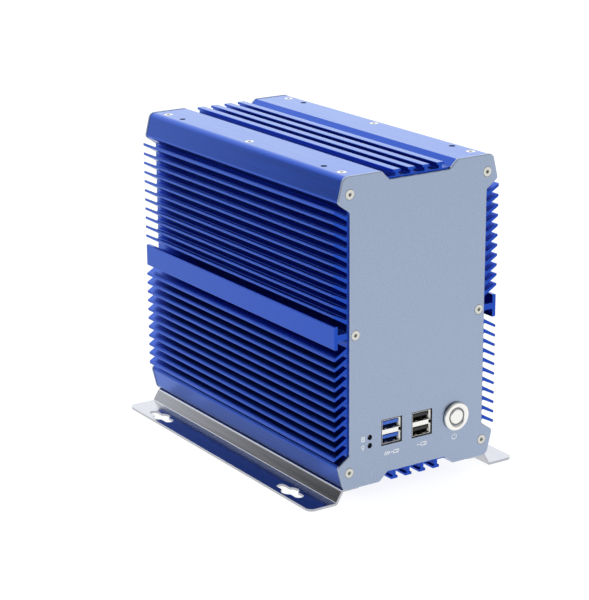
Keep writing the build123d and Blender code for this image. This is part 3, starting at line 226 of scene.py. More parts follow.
def painted_edge_mask(material, radius):
    """Share of the painted highlight or painted shade along the piece's sharp edges: 1 there, 0 on its faces; and the
    rounded normal.
    """
    nodes, links = material.node_tree.nodes, material.node_tree.links
    bevel = nodes.new("ShaderNodeBevel")
    bevel.samples = 4
    bevel.inputs["Radius"].default_value = radius
    geometry = nodes.new("ShaderNodeNewGeometry")
    dot = nodes.new("ShaderNodeVectorMath")
    dot.operation = "DOT_PRODUCT"
    links.new(bevel.outputs["Normal"], dot.inputs[0])
    links.new(geometry.outputs["Normal"], dot.inputs[1])
    spread = nodes.new("ShaderNodeMapRange")
    spread.inputs["From Min"].default_value = 1.0
    spread.inputs["From Max"].default_value = EDGE_COSINE
    links.new(dot.outputs["Value"], spread.inputs["Value"])
    return spread.outputs["Result"], bevel.outputs["Normal"]


def finish(name, color, metallic, roughness, grain, bump, tint, rough, edge=None, edge_radius=0.25, **sockets):
    """Material with grain (repeats per metre), its height in mm, its share of the colour and of the roughness; a
    colour given for the sharp edges is painted there as a highlight, or as painted shade where it is darker than the
    face.
    """
    material = new_material(name, color, metallic, roughness, **sockets)
    nodes, links = material.node_tree.nodes, material.node_tree.links
    shader = nodes["Principled BSDF"]
    noise = texture(material, "ShaderNodeTexNoise", grain, Detail=4.0, Roughness=0.6)
    broad = texture(material, "ShaderNodeTexNoise", BROAD_GRAIN, Detail=2.0)
    dark = tuple(c * (1 - tint) for c in color)
    light = tuple(min(1.0, c * (1 + tint)) for c in color)
    fine_tint = mixed(material, ranged(material, noise.outputs["Fac"], 0.0, 1.0), dark, light)
    base = mixed(material, ranged(material, broad.outputs["Fac"], 0.0, BROAD_SHARE), fine_tint, color)
    bumps = nodes.new("ShaderNodeBump")
    bumps.inputs["Distance"].default_value = bump * MM
    links.new(noise.outputs["Fac"], bumps.inputs["Height"])
    # Sharp edges take the given colour: a painted highlight where it is lighter than the face, painted shade where
    # darker.
    if edge:
        mask, rounded = painted_edge_mask(material, edge_radius * MM)
        base = mixed(material, mask, base, edge)
        links.new(rounded, bumps.inputs["Normal"])
    links.new(base, shader.inputs["Base Color"])
    links.new(bumps.outputs["Normal"], shader.inputs["Normal"])
    spread = ranged(material, noise.outputs["Fac"], max(0.02, roughness - rough), min(1.0, roughness + rough))
    links.new(spread, shader.inputs["Roughness"])
    return material


EXTRUDED = (700.0, 14.0, 700.0)
BLASTED = (1100.0, 1100.0, 1100.0)
MOULDED = (1800.0, 1800.0, 1800.0)
ROLLED = (60.0, 900.0, 900.0)

# The colours given for sharp edges below are painted highlights, lighter than the face; only the nickel's darker one
# is painted shade.
FINISHES = {
    "blue_anodised": dict(
        color=(0.002, 0.056, 0.45), metallic=1.0, roughness=0.30, grain=EXTRUDED, bump=0.010, tint=0.10,
        rough=0.04, edge=(0.04, 0.10, 0.62), Specular_Tint=(0.86, 1.0, 1.0, 1.0), Coat_Weight=0.5,
        Coat_Roughness=0.26, Coat_IOR=1.40),
    "silver_anodised": dict(
        color=(0.342, 0.412, 0.545), metallic=1.0, roughness=0.38, grain=BLASTED, bump=0.012, tint=0.12,
        rough=0.06, edge=(0.80, 0.86, 0.95)),
    # Nickel screw heads: the dark colour along their sharp edges is painted shade in the hex sockets.
    "nickel_steel": dict(
        color=(0.62, 0.62, 0.58), metallic=1.0, roughness=0.20, grain=MOULDED, bump=0.006, tint=0.08,
        rough=0.06, edge=(0.16, 0.15, 0.13), edge_radius=0.3),
    "polished_bracket_steel": dict(
        color=(0.46, 0.47, 0.51), metallic=1.0, roughness=0.16, grain=(900.0, 16.0, 900.0), bump=0.0002,
        tint=0.04, rough=0.02, edge=(0.72, 0.72, 0.75), edge_radius=0.4),
    "socket_shell": dict(
        color=(0.86, 0.85, 0.82), metallic=1.0, roughness=0.22, grain=(500.0, 60.0, 500.0), bump=0.004,
        tint=0.05, rough=0.06, edge=(0.97, 0.97, 0.95)),
    "blue_socket_plastic": dict(
        color=(0.022, 0.12, 0.58), metallic=0.0, roughness=0.30, grain=MOULDED, bump=0.006, tint=0.06,
        rough=0.05),
    "black_plastic": dict(
        color=(0.012, 0.012, 0.014), metallic=0.0, roughness=0.42, grain=MOULDED, bump=0.01, tint=0.15,
        rough=0.08, edge=(0.035, 0.035, 0.04)),
    "brass": dict(
        color=(0.78, 0.56, 0.24), metallic=1.0, roughness=0.26, grain=MOULDED, bump=0.005, tint=0.08,
        rough=0.08),
    "aluminium_bare": dict(
        color=(0.74, 0.75, 0.77), metallic=1.0, roughness=0.34, grain=ROLLED, bump=0.01, tint=0.08, rough=0.08,
        edge=(0.92, 0.92, 0.94)),
    "indicator_lens": dict(
        color=(0.035, 0.036, 0.04), metallic=0.0, roughness=0.18, grain=(400.0, 400.0, 400.0), bump=0.002,
        tint=0.2, rough=0.04, Coat_Weight=0.6),
    "polished_button_steel": dict(
        color=(0.86, 0.85, 0.82), metallic=1.0, roughness=0.10, grain=(2200.0, 2200.0, 2200.0), bump=0.0015,
        tint=0.03, rough=0.03),
    "light_ring": dict(
        color=(0.24, 0.245, 0.25), metallic=0.0, roughness=0.38, grain=MOULDED, bump=0.003, tint=0.05,
        rough=0.05, Subsurface_Weight=0.2),
    "black_rubber": dict(
        color=(0.014, 0.014, 0.014), metallic=0.0, roughness=0.72, grain=MOULDED, bump=0.02, tint=0.2,
        rough=0.1),
    "spring_steel": dict(
        color=(0.52, 0.52, 0.54), metallic=1.0, roughness=0.28, grain=ROLLED, bump=0.004, tint=0.08, rough=0.08),
    "processor_metal": dict(
        color=(0.66, 0.67, 0.68), metallic=1.0, roughness=0.30, grain=(1500.0, 90.0, 1500.0), bump=0.004,
        tint=0.08, rough=0.08, edge=(0.85, 0.85, 0.86)),
    "thermal_pad": dict(
        color=(0.36, 0.46, 0.56), metallic=0.0, roughness=0.75, grain=(900.0, 900.0, 900.0), bump=0.03, tint=0.1,
        rough=0.1),
    "black_anodised": dict(
        color=(0.018, 0.018, 0.021), metallic=0.9, roughness=0.38, grain=BLASTED, bump=0.01, tint=0.15,
        rough=0.08, edge=(0.08, 0.08, 0.09)),
    "ferrite": dict(
        color=(0.13, 0.13, 0.14), metallic=0.1, roughness=0.6, grain=BLASTED, bump=0.03, tint=0.15, rough=0.1,
        edge=(0.22, 0.22, 0.23)),
    "capacitor_can": dict(
        color=(0.72, 0.72, 0.74), metallic=1.0, roughness=0.24, grain=(90.0, 1500.0, 1500.0), bump=0.004,
        tint=0.06, rough=0.06),
    "cell_steel": dict(
        color=(0.74, 0.74, 0.73), metallic=1.0, roughness=0.26, grain=(900.0, 60.0, 900.0), bump=0.004,
        tint=0.06, rough=0.06),
    "zinc_sheet": dict(
        color=(0.60, 0.62, 0.64), metallic=1.0, roughness=0.34, grain=(160.0, 160.0, 160.0), bump=0.006,
        tint=0.12, rough=0.1, edge=(0.82, 0.83, 0.85)),
    "lead_jacket": dict(
        color=(0.02, 0.02, 0.022), metallic=0.0, roughness=0.5, grain=(500.0, 500.0, 500.0), bump=0.02,
        tint=0.15, rough=0.1),
}


def circuit_board():
    """Green solder mask with lighter tracks and a fine speckle of plated holes."""
    mask_green, track_green, pad_gold = (0.006, 0.075, 0.030), (0.015, 0.15, 0.055), (0.62, 0.48, 0.22)
    material = new_material("circuit_board", mask_green, 0.0, 0.32, Coat_Weight=0.5, Coat_Roughness=0.15)
    nodes, links = material.node_tree.nodes, material.node_tree.links
    shader = nodes["Principled BSDF"]
    tracks = texture(material, "ShaderNodeTexVoronoi", (120.0, 260.0, 120.0))
    tracks.distance = "CHEBYCHEV"
    holes = texture(material, "ShaderNodeTexVoronoi", (330.0, 330.0, 330.0))
    speckle = nodes.new("ShaderNodeMapRange")
    speckle.inputs["From Min"].default_value = 0.14
    speckle.inputs["From Max"].default_value = 0.10
    links.new(holes.outputs["Distance"], speckle.inputs["Value"])
    base = mixed(material, ranged(material, tracks.outputs["Distance"], 0.0, 1.0), mask_green, track_green)
    links.new(mixed(material, speckle.outputs["Result"], base, pad_gold), shader.inputs["Base Color"])
    bumps = nodes.new("ShaderNodeBump")
    bumps.inputs["Distance"].default_value = 0.03 * MM
    links.new(tracks.outputs["Distance"], bumps.inputs["Height"])
    links.new(bumps.outputs["Normal"], shader.inputs["Normal"])
    return material


materials = {slot: finish(slot, **values) for slot, values in FINISHES.items()}
materials["circuit_board"] = circuit_board()
PRINT_WHITE = finish(
    "printed_white", (0.90, 0.92, 0.94), 0.0, 0.55, grain=MOULDED, bump=0.004, tint=0.03, rough=0.05)
GOLD = finish("contact_gold", (0.85, 0.62, 0.25), 1.0, 0.22, grain=ROLLED, bump=0.003, tint=0.06, rough=0.06)
LIME = finish("audio_lime", (0.22, 0.58, 0.10), 0.0, 0.40, grain=MOULDED, bump=0.008, tint=0.06, rough=0.06)
PINK = finish("audio_pink", (0.72, 0.20, 0.30), 0.0, 0.40, grain=MOULDED, bump=0.008, tint=0.06, rough=0.06)
AMBER = finish("window_amber", (0.80, 0.42, 0.05), 0.0, 0.25, grain=MOULDED, bump=0.004, tint=0.06, rough=0.05)
GREEN = finish("window_green", (0.12, 0.60, 0.12), 0.0, 0.25, grain=MOULDED, bump=0.004, tint=0.06, rough=0.05)


def dress_frame():
    """Every CAD node gets the material of its slot in the record."""
    for part in frame["record"]["subparts"]:
        obj = frame["nodes"][part["node"]]
        obj.data.materials.clear()
        obj.data.materials.append(materials[part["material_slot"]])


# ---------------------------------------------------------------- mesh helpers
SMOOTH_ANGLE = math.radians(32)


def add_piece(name, mesh, material, body="case", replaces=()):
    """Visible piece that rides on the body and stands for the CAD nodes in replaces."""
    obj = bpy.data.objects.new(name, mesh)
    scene.collection.objects.link(obj)
    mesh.materials.clear()
    mesh.materials.append(material)
    mesh.shade_smooth()
    mesh.set_sharp_from_angle(angle=SMOOTH_ANGLE)
    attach(obj, body)
    if replaces:
        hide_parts(*replaces)
    return obj


def mesh_from(bm, name):
    """Mesh of the finished bm, with its faces turned outwards."""
    bmesh.ops.recalc_face_normals(bm, faces=bm.faces)
    mesh = bpy.data.meshes.new(name)
    bm.to_mesh(mesh)
    bm.free()
    return mesh


def rectangle(x, z, width, height, corner=0.0, steps=5):
    """Points round a rectangle with rounded corners."""
    if not corner:
        return [(x + sx * width / 2, z + sz * height / 2) for sx, sz in ((-1, -1), (1, -1), (1, 1), (-1, 1))]
    points = []
    for quarter, (sx, sz) in enumerate(((1, 1), (-1, 1), (-1, -1), (1, -1))):
        for step in range(steps + 1):
            angle = math.radians(90 * (quarter + step / steps))
            points.append((
                x + sx * (width / 2 - corner) + corner * math.cos(angle),
                z + sz * (height / 2 - corner) + corner * math.sin(angle),
            ))
    return points


def circle(x, z, radius, steps=40):
    return arc(x, z, radius, 0, 360 - 360 / steps, steps - 1)


def arc(x, z, radius, start, end, steps=24):
    angles = [math.radians(start + (end - start) * step / steps) for step in range(steps + 1)]
    return [(x + radius * math.cos(a), z + radius * math.sin(a)) for a in angles]


def arc_band(x, z, radius, width, start, end):
    """Outline of a curved stroke of that width."""
    outer = arc(x, z, radius + width / 2, start, end)
    inner = arc(x, z, radius - width / 2, start, end)
    return outer + inner[::-1]


def plate_mesh(name, loops, depth, bevel, place):
    """Plate cut along the loops (outlines and their holes, in mm) with a rounded rim; place puts it in the frame."""
    curve = bpy.data.curves.new(name, "CURVE")
    curve.dimensions = "2D"
    curve.fill_mode = "BOTH"
    curve.extrude = (depth / 2 - bevel) * MM
    curve.bevel_depth = bevel * MM
    curve.bevel_resolution = 2
    curve.offset = -bevel * MM
    for loop in loops:
        spline = curve.splines.new("POLY")
        spline.points.add(len(loop) - 1)
        for point, (x, z) in zip(spline.points, loop):
            point.co = (x * MM, z * MM, 0.0, 1.0)
        spline.use_cyclic_u = True
    carrier = bpy.data.objects.new(name, curve)
    scene.collection.objects.link(carrier)
    bpy.context.view_layer.update()
    evaluated = carrier.evaluated_get(bpy.context.evaluated_depsgraph_get())
    mesh = bpy.data.meshes.new_from_object(evaluated)
    bpy.data.objects.remove(carrier)
    bm = bmesh.new()
    bm.from_mesh(mesh)
    bmesh.ops.remove_doubles(bm, verts=bm.verts, dist=1e-6)
    bm.transform(place)
    bmesh.ops.recalc_face_normals(bm, faces=bm.faces)
    bm.to_mesh(mesh)
    bm.free()
    return mesh


UPRIGHT = Matrix.Rotation(math.radians(90), 4, "X")
HALF_TURN = Matrix.Rotation(math.pi, 4, "Z")


def facing_front(x, y, z):
    """Drawing plane seen from the front; its middle depth lies at y."""
    return Matrix.Translation((x, y, z)) @ UPRIGHT


def facing_rear(x, y, z):
    """Drawing plane seen from behind, local x towards -X."""
    return Matrix.Translation((x, y, z)) @ HALF_TURN @ UPRIGHT


def lathe_mesh(name, profile, x, z, steps=96):
    """Profile of (radius in mm, y in metres) turned about an axis along Y through x, z."""
    bm = bmesh.new()
    rings = []
    for radius, y in profile:
        if radius < 1e-6:
            rings.append([bm.verts.new((x, y, z))])
            continue
        angles = [2 * math.pi * step / steps for step in range(steps)]
        rings.append([
            bm.verts.new((x + radius * MM * math.cos(a), y, z + radius * MM * math.sin(a))) for a in angles
        ])
    for first, second in zip(rings, rings[1:]):
        for step in range(steps):
            following = (step + 1) % steps
            if len(first) == 1:
                bm.faces.new((first[0], second[step], second[following]))
            elif len(second) == 1:
                bm.faces.new((first[step], second[0], first[following]))
            else:
                bm.faces.new((first[step], second[step], second[following], first[following]))
    return mesh_from(bm, name)


def skin(bm, rings):
    """Closed tube over rings of equally many points."""
    for first, second in zip(rings, rings[1:]):
        for index in range(len(first)):
            following = (index + 1) % len(first)
            bm.faces.new((first[index], first[following], second[following], second[index]))
    bm.faces.new(rings[0][::-1])
    bm.faces.new(rings[-1])


def strip(bm, path, across, width, thickness):
    """Flat ribbon of metal that follows the path; across is the unit vector over its width."""
    across = Vector(across)
    corners = ((-1, -1), (1, -1), (1, 1), (-1, 1))
    rings = []
    for index, point in enumerate(path):
        before = Vector(path[max(index - 1, 0)])
        after = Vector(path[min(index + 1, len(path) - 1)])
        normal = (after - before).normalized().cross(across)
        rings.append([
            bm.verts.new(Vector(point) + across * (sa * width / 2) + normal * (sn * thickness / 2))
            for sa, sn in corners
        ])
    skin(bm, rings)


# ---------------------------------------------------------------- printed marks
ICON_PROUD = 0.05             # thickness of the print, in mm like every size of a mark
STROKE = 0.42
PLUG_HEIGHT = 2.3
PLUG_BODY_SHARE = 0.58        # of the mark's width, the rest is its stub of lead


def slanted(loop, slant=0.25):
    """The loop leant over like italics."""
    return [(x + slant * z, z) for x, z in loop]


def plug_mark(x, width):
    """A plain plug seen from the side: body, two contact windows and a stub of lead."""
    body = width * PLUG_BODY_SHARE
    middle = x + width / 2 - body / 2
    return [
        rectangle(middle, 0, body, PLUG_HEIGHT, 0.3),
        rectangle(middle, 0, body - 2 * STROKE, PLUG_HEIGHT - 2 * STROKE, 0.1),
        rectangle(middle + 0.6, 0.42, 0.9, 0.36),
        rectangle(middle + 0.6, -0.42, 0.9, 0.36),
        rectangle(x - width / 2 + (width - body) / 2, 0, width - body, STROKE),
    ]


def printed_marks():
    """Plain generic marks beside the indicators, the sockets and the button."""
    drive = [
        rectangle(0, 0, 2.5, 3.1, 0.5), rectangle(0, 0, 2.5 - 2 * STROKE, 3.1 - 2 * STROKE, 0.2),
        circle(0, 0.35, 0.5), rectangle(0, -0.85, 1.0, 0.3),
    ]
    lamp = [
        circle(0, 0.5, 1.1), circle(0, 0.5, 1.1 - STROKE), rectangle(0, -0.95, 1.1, 0.34),
        rectangle(0, -1.5, 0.8, 0.34),
    ]
    fast_plug = [slanted(loop) for loop in plug_mark(1.9, 6.8)]
    fast_plug += [slanted(rectangle(-4.6 + 1.3 * index, 0, 0.6, PLUG_HEIGHT, 0.15)) for index in range(3)]
    power = [arc_band(0, 0, 1.75, STROKE, 125, 415), rectangle(0, 1.25, STROKE, 1.9, 0.1)]
    marks = (                 # name, loops, and the mark's middle from the panel's middle, in mm
        ("mark_drive", drive, -39.8, -65.3), ("mark_lamp", lamp, -39.8, -70.7),
        ("mark_fast_socket", fast_plug, -18.9, -77.7), ("mark_socket", plug_mark(0, 7.4), 3.4, -77.3),
        ("mark_power", power, 28.2, -77.8),
    )
    for name, loops, x, z in marks:
        place = facing_front(x * MM, FRONT_Y - ICON_PROUD * MM / 2, MID_Z + z * MM)
        add_piece(name, plate_mesh(name, loops, ICON_PROUD, 0.01, place), PRINT_WHITE)


# ---------------------------------------------------------------- front sockets, sizes in mm
WALL = 0.35
BAND = 3.0                    # height of the middle band between the two openings
SHELL_CORNER = 0.5
NOTCH = (1.5, 2.0)
SHADE_SHEET_MARGINS = (1.66, 1.36)   # by which the black sheet of painted shade round a shell is wider and taller than it
SHADE_SHEET_PLAY = 0.1
SHADE_SHEET_DEPTH = 1.1
SHADE_SHEET_MIDDLE = 0.9             # its middle, behind the panel's face
CONTACTS_PER_ROW = 4
LEAF = (5.6, 1.9)             # length and width of a grounding spring
LEAF_SHEET = 0.2
LEAF_BOW = 0.45
LEAF_SPREAD = 3.1             # of a pair of springs from the opening's middle
SIDE_LEAF_BOW = 1.1
CONTACT_SHEET = 0.12


def stack_outline(width, height):
    """Shell outline with the seam's notch at mid height on the right."""
    corner = SHELL_CORNER
    half_w, half_h = width / 2, height / 2
    notch_w, notch_h = NOTCH
    notch = [(half_w, -notch_h / 2), (half_w - notch_w, -notch_h / 2), (half_w - notch_w, notch_h / 2),
             (half_w, notch_h / 2)]
    top = arc(half_w - corner, half_h - corner, corner, 0, 90, 4) + arc(
        corner - half_w, half_h - corner, corner, 90, 180, 4)
    return notch + top + [(-x, -z) for x, z in top]


def front_stack(shell, tongues):
    """Sheet metal shell of a double socket, with its springs and contacts, and a black sheet of painted shade in the
    gap round it.
    """
    low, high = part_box(shell)
    middle = (low + high) / 2
    width, depth, height = (high - low) / MM
    cavity = (width - 2 * WALL, (height - BAND) / 2 - WALL)
    rise = (BAND + cavity[1]) / 2
    loops = [stack_outline(width, height)]
    loops += [rectangle(0, up * rise, *cavity, 0.3) for up in (-1, 1)]
    place = facing_front(middle.x, middle.y, middle.z)
    add_piece(f"{shell}_sheet", plate_mesh(shell, loops, depth, 0.1, place), materials["socket_shell"],
              replaces=(shell,))
    # Black sheet in the panel's cut-out round the shell: painted shade in the gap.
    gap_shade_sheet = [
        rectangle(0, 0, width + SHADE_SHEET_MARGINS[0], height + SHADE_SHEET_MARGINS[1], 0.1),
        rectangle(0, 0, width + SHADE_SHEET_PLAY, height + SHADE_SHEET_PLAY, SHELL_CORNER),
    ]
    place = facing_front(middle.x, FRONT_Y + SHADE_SHEET_MIDDLE * MM, middle.z)
    add_piece(f"{shell}_foam", plate_mesh(f"{shell}_foam", gap_shade_sheet, SHADE_SHEET_DEPTH, 0.05, place),
              materials["black_rubber"])
    socket_springs(shell, low.y, middle, rise, cavity)
    tongue_contacts(tongues, low.y, middle, rise)


def bowed(start, along, inwards, bow, steps=8):
    """Points of a spring that leaves the wall, bows into the opening and comes back to it."""
    return [
        Vector(start) + Vector(along) * (step / steps) + Vector(inwards) * bow * math.sin(math.pi * step / steps)
        for step in range(steps + 1)
    ]


def socket_springs(name, front, middle, rise, cavity):
    """Bowed grounding springs: two on the floor and roof of each opening, one on each side wall."""
    bm = bmesh.new()
    along = Vector((0, LEAF[0], 0)) * MM
    for up in (-1, 1):
        height = middle.z + up * rise * MM
        for wall in (-1, 1):
            for side in (-1, 1):
                start = (middle.x + side * LEAF_SPREAD * MM, front + 1.2 * MM, height + wall * cavity[1] / 2 * MM)
                leaf = bowed(start, along, (0, 0, -wall), LEAF_BOW * MM)
                strip(bm, leaf, (1, 0, 0), LEAF[1] * MM, LEAF_SHEET * MM)
            start = (middle.x + wall * (cavity[0] / 2 - 0.05) * MM, front + 0.35 * MM, height)
            leaf = bowed(start, along, (-wall, 0, 0), SIDE_LEAF_BOW * MM)
            strip(bm, leaf, (0, 0, 1), (cavity[1] - 0.5) * MM, LEAF_SHEET * MM)
    add_piece(f"{name}_springs", mesh_from(bm, name), materials["socket_shell"])


def tongue_contacts(name, front, middle, rise):
    """Gold contacts along the underside of each tongue."""
    bm = bmesh.new()
    for up in (-1, 1):
        underside = middle.z + (up * rise - 0.1) * MM
        for index in range(CONTACTS_PER_ROW):
            x = middle.x + (index - (CONTACTS_PER_ROW - 1) / 2) * (9.0 / CONTACTS_PER_ROW) * MM
            path = [(x, front + (1.6 + 1.1 * step) * MM, underside - 0.05 * MM) for step in range(8)]
            strip(bm, path, (1, 0, 0), 1.0 * MM, CONTACT_SHEET * MM)
    add_piece(f"{name}_contacts", mesh_from(bm, name), GOLD)


# ---------------------------------------------------------------- rear sockets, sizes in mm
JACK_X = -22.6                # middle of the network jacks' openings
JACK = (8.6, 12.4)            # across and along the board
JACK_CONTACTS = 8
JACK_CONTACT_PITCH = 1.02
REAR_USB_XS = (-4.8, -12.8)
REAR_USB_WIDTH = 5.2
JACK_ROW_HALF = 13.0          # of each row of network jacks from the middle between them
AUDIO_BLOCK = 11.0            # height of one audio socket
VIDEO_BLOCK = 16.0            # height of one video socket
VIDEO_CONTACTS = 10
VIDEO_CONTACT_PITCH = 1.05
WINDOW = (2.4, 3.4)           # indicator windows beside each network jack


def network_jacks():
    """Contacts, indicator windows and side springs of the two network and USB stacks."""
    low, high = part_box("network_usb_shells")
    mouth = high.y
    contacts, springs = bmesh.new(), bmesh.new()
    for row, up in enumerate((-1, 1)):
        height = (low.z + high.z) / 2 + up * JACK_ROW_HALF * MM
        for index in range(JACK_CONTACTS):
            z = height + (index - (JACK_CONTACTS - 1) / 2) * JACK_CONTACT_PITCH * MM
            outer = (JACK_X - JACK[0] / 2 + 0.6) * MM
            path = [(outer, mouth - 2.0 * MM, z), (outer + 0.4 * MM, mouth - 3.0 * MM, z),
                    (outer + 2.6 * MM, mouth - 9.0 * MM, z), (outer + 2.8 * MM, mouth - 11.0 * MM, z)]
            strip(contacts, path, (0, 0, 1), 0.45 * MM, 0.25 * MM)
        for side, material in ((-1, AMBER), (1, GREEN)):
            z = height + side * (JACK[1] / 2 - WINDOW[1] / 2) * MM
            x = (JACK_X - JACK[0] / 2 - WINDOW[0] / 2 - 0.3) * MM
            name = f"network_window_{row}_{'left' if side < 0 else 'right'}"
            place = facing_rear(x, mouth + 0.02 * MM, z)
            add_piece(name, plate_mesh(name, [rectangle(0, 0, *WINDOW, 0.3)], 0.3, 0.05, place), material)
        for x in REAR_USB_XS:
            for wall in (-1, 1):
                for side in (-1, 1):
                    start = ((x + wall * REAR_USB_WIDTH / 2) * MM, mouth - 1.2 * MM, height + side * LEAF_SPREAD * MM)
                    leaf = bowed(start, (0, -LEAF[0] * MM, 0), (-wall, 0, 0), LEAF_BOW * MM)
                    strip(springs, leaf, (0, 0, 1), LEAF[1] * MM, LEAF_SHEET * MM)
    add_piece("network_jack_contacts", mesh_from(contacts, "network_jack_contacts"), GOLD)
    add_piece("rear_usb_springs", mesh_from(springs, "rear_usb_springs"), materials["socket_shell"])


def audio_rings():
    """Coloured rings round the two audio bores."""
    low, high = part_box("audio_sockets")
    x = (low.x + high.x) / 2
    mouth = high.y
    half = (high.z - low.z) / 2 - AUDIO_BLOCK / 2 * MM
    for name, up, material in (("audio_ring_out", -1, LIME), ("audio_ring_in", 1, PINK)):
        z = (low.z + high.z) / 2 + up * half
        profile = [(1.85, mouth - 3.0 * MM), (1.85, mouth + 0.15 * MM), (2.0, mouth + 0.3 * MM),
                   (3.1, mouth + 0.3 * MM), (3.3, mouth + 0.15 * MM), (3.3, mouth - 0.3 * MM)]
        add_piece(name, lathe_mesh(name, profile, x, z), material)


def video_contacts():
    """Rows of contacts on both faces of the video sockets' tongues."""
    low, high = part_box("video_shells")
    x = (low.x + high.x) / 2
    mouth = high.y
    half = (high.z - low.z) / 2 - VIDEO_BLOCK / 2 * MM
    bm = bmesh.new()
    for up in (-1, 1):
        middle = (low.z + high.z) / 2 + up * half
        for index in range(VIDEO_CONTACTS):
            z = middle + (index - (VIDEO_CONTACTS - 1) / 2) * VIDEO_CONTACT_PITCH * MM
            for side in (-1, 1):
                path = [(x + side * 0.74 * MM, mouth - (1.6 + 1.0 * step) * MM, z) for step in range(6)]
                strip(bm, path, (0, 0, 1), 0.5 * MM, CONTACT_SHEET * MM)
    add_piece("video_contacts", mesh_from(bm, "video_contacts"), GOLD)


def power_pin():
    """Rounded centre pin and metal sleeve of the power inlet."""
    low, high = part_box("power_socket")
    x, z = (low.x + high.x) / 2, (low.z + high.z) / 2
    mouth = high.y
    pin = [(0.0, mouth - 1.0 * MM), (0.55, mouth - 1.05 * MM), (0.9, mouth - 1.3 * MM), (1.04, mouth - 1.7 * MM),
           (1.04, mouth - 9.9 * MM)]
    add_piece("power_pin", lathe_mesh("power_pin", pin, x, z), materials["brass"])
    sleeve = [(3.04, mouth - 9.8 * MM), (3.04, mouth - 0.5 * MM), (3.08, mouth - 0.4 * MM)]
    add_piece("power_sleeve", lathe_mesh("power_sleeve", sleeve, x, z), materials["socket_shell"])


# ---------------------------------------------------------------- power button
COIL_WIRE = 0.3 * MM          # radius of the return spring's wire
COIL_TURNS = 5


def power_button():
    """Bezel, dished cap and light ring turned about the button's axis, and the return spring behind them."""
    x, z = BUTTON_AXIS
    face, back = button_low.y, button_high.y
    rim = [(r, face + d * MM) for r, d in (
        (5.66, 3.2), (5.66, 0.75), (5.7, 0.62), (5.85, 0.5), (6.15, 0.34), (6.55, 0.18), (7.0, 0.07), (7.5, 0.01),
        (7.9, 0.0), (8.25, 0.04), (8.5, 0.12), (8.72, 0.26), (8.88, 0.46), (8.97, 0.72), (9.0, 1.0), (9.0, 1.72),
        (8.94, 1.8), (8.0, 1.8), (8.0, 2.4))]
    barrel = [(8.0, back), (6.9, back), (6.9, face + 5.2 * MM), (5.66, face + 5.2 * MM), (5.66, face + 3.2 * MM)]
    add_piece("button_bezel", lathe_mesh("button_bezel", rim + barrel, x, z), materials["polished_button_steel"],
              replaces=("button_housing",))
    front, end = (corner.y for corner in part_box("button_plunger"))
    ring_front, shoulder = (corner.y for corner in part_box("button_light_ring"))
    dish = [(r, front + (0.12 - 0.0065 * r * r) * MM) for r in (0.0, 0.8, 1.6, 2.4, 3.2, 3.8, 4.05)]
    cap = [(4.2, front + 0.03 * MM), (4.45, front + 0.2 * MM), (4.72, front + 0.42 * MM),
           (4.86, front + 0.6 * MM), (4.9, front + 0.8 * MM)]
    stem = [(4.9, shoulder), (6.6, shoulder), (6.6, shoulder + 1.8 * MM), (2.2, shoulder + 1.8 * MM), (2.2, end),
            (0.0, end)]
    add_piece("button_cap", lathe_mesh("button_cap", dish + cap + stem, x, z), button_cap_material(x, z),
              body="power_button", replaces=("button_plunger",))
    ring = [(4.92, shoulder), (4.92, ring_front + 0.06 * MM), (5.0, ring_front), (5.25, ring_front - 0.03 * MM),
            (5.48, ring_front), (5.56, ring_front + 0.08 * MM), (5.56, shoulder), (4.92, shoulder)]
    add_piece("button_ring", lathe_mesh("button_ring", ring, x, z), materials["light_ring"], body="power_button",
              replaces=("button_light_ring",))
    button_coil(x, z)


def button_coil(x, z):
    """Round-wire return spring behind the button, on a mesh of its own."""
    low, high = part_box("button_spring")
    radius = (high.x - low.x) / 2 - COIL_WIRE
    first, last = low.y + COIL_WIRE, high.y - COIL_WIRE
    steps, sides = 24 * COIL_TURNS, 10
    bm = bmesh.new()
    rings = []
    for step in range(steps + 1):
        turn = 2 * math.pi * COIL_TURNS * step / steps
        ring = []
        for side in range(sides):
            angle = 2 * math.pi * side / sides
            out = radius + COIL_WIRE * math.cos(angle)
            along = first + (last - first) * step / steps + COIL_WIRE * math.sin(angle)
            ring.append(bm.verts.new((x + out * math.cos(turn), along, z + out * math.sin(turn))))
        rings.append(ring)
    skin(bm, rings)
    coil = add_piece("button_coil", mesh_from(bm, "button_coil"), materials["spring_steel"],
                     replaces=("button_spring",))
    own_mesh(coil)


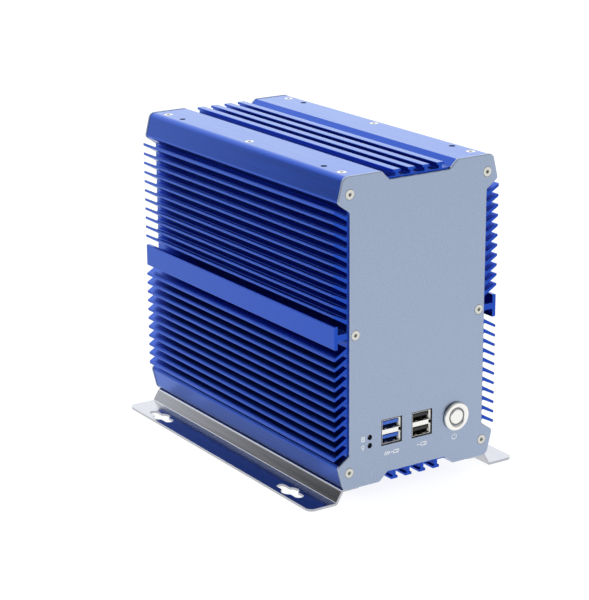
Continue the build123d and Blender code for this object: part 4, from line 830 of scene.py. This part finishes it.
def button_cap_material(x, z):
    """Spun stainless steel: fine rings round the button's axis."""
    material = new_material("spun_steel", (0.88, 0.87, 0.84), 1.0, 0.28)
    nodes, links = material.node_tree.nodes, material.node_tree.links
    shader = nodes["Principled BSDF"]
    coords = nodes.new("ShaderNodeTexCoord")
    mapping = nodes.new("ShaderNodeMapping")
    mapping.inputs["Location"].default_value = (-x, 0.0, -z)
    rings = nodes.new("ShaderNodeTexWave")
    rings.wave_type = "RINGS"
    rings.rings_direction = "Y"
    rings.inputs["Scale"].default_value = 1400.0
    rings.inputs["Distortion"].default_value = 1.5
    links.new(coords.outputs["Object"], mapping.inputs["Vector"])
    links.new(mapping.outputs["Vector"], rings.inputs["Vector"])
    bumps = nodes.new("ShaderNodeBump")
    bumps.inputs["Distance"].default_value = 0.004 * MM
    links.new(rings.outputs["Fac"], bumps.inputs["Height"])
    links.new(bumps.outputs["Normal"], shader.inputs["Normal"])
    dark, light = (0.80, 0.79, 0.76), (0.92, 0.91, 0.88)
    links.new(mixed(material, rings.outputs["Fac"], dark, light), shader.inputs["Base Color"])
    return material


# ---------------------------------------------------------------- floor
FLOOR_HALF = 9.0
FLOOR_CELLS = 24
FLOOR_DROP = 0.2 * MM         # below the lowest face, so that the two never share a plane


def make_floor():
    """Plain pale floor that glows a little, so that it stays white under the soft light."""
    bm = bmesh.new()
    bmesh.ops.create_grid(bm, x_segments=FLOOR_CELLS, y_segments=FLOOR_CELLS, size=FLOOR_HALF)
    mesh = bpy.data.meshes.new("floor")
    bm.to_mesh(mesh)
    bm.free()
    floor = bpy.data.objects.new("floor", mesh)
    floor.location = (0, 0, cad_bounds[0].z - FLOOR_DROP)
    scene.collection.objects.link(floor)
    material = finish("pale_floor", (0.25, 0.25, 0.25), 0.0, 0.8, grain=(40.0, 40.0, 40.0), bump=0.02, tint=0.01,
                      rough=0.05, Emission_Color=(1.0, 1.0, 1.0, 1.0), Emission_Strength=0.88)
    mesh.materials.append(material)


# ---------------------------------------------------------------- the scene
scene.view_settings.view_transform = "Standard"
make_camera()
make_world()
make_fill_light()
make_floor()
dress_frame()
printed_marks()
front_stack("front_usb3_shell", "front_usb3_tongues")
front_stack("front_usb2_shell", "front_usb2_tongues")
power_button()
network_jacks()
audio_rings()
video_contacts()
power_pin()
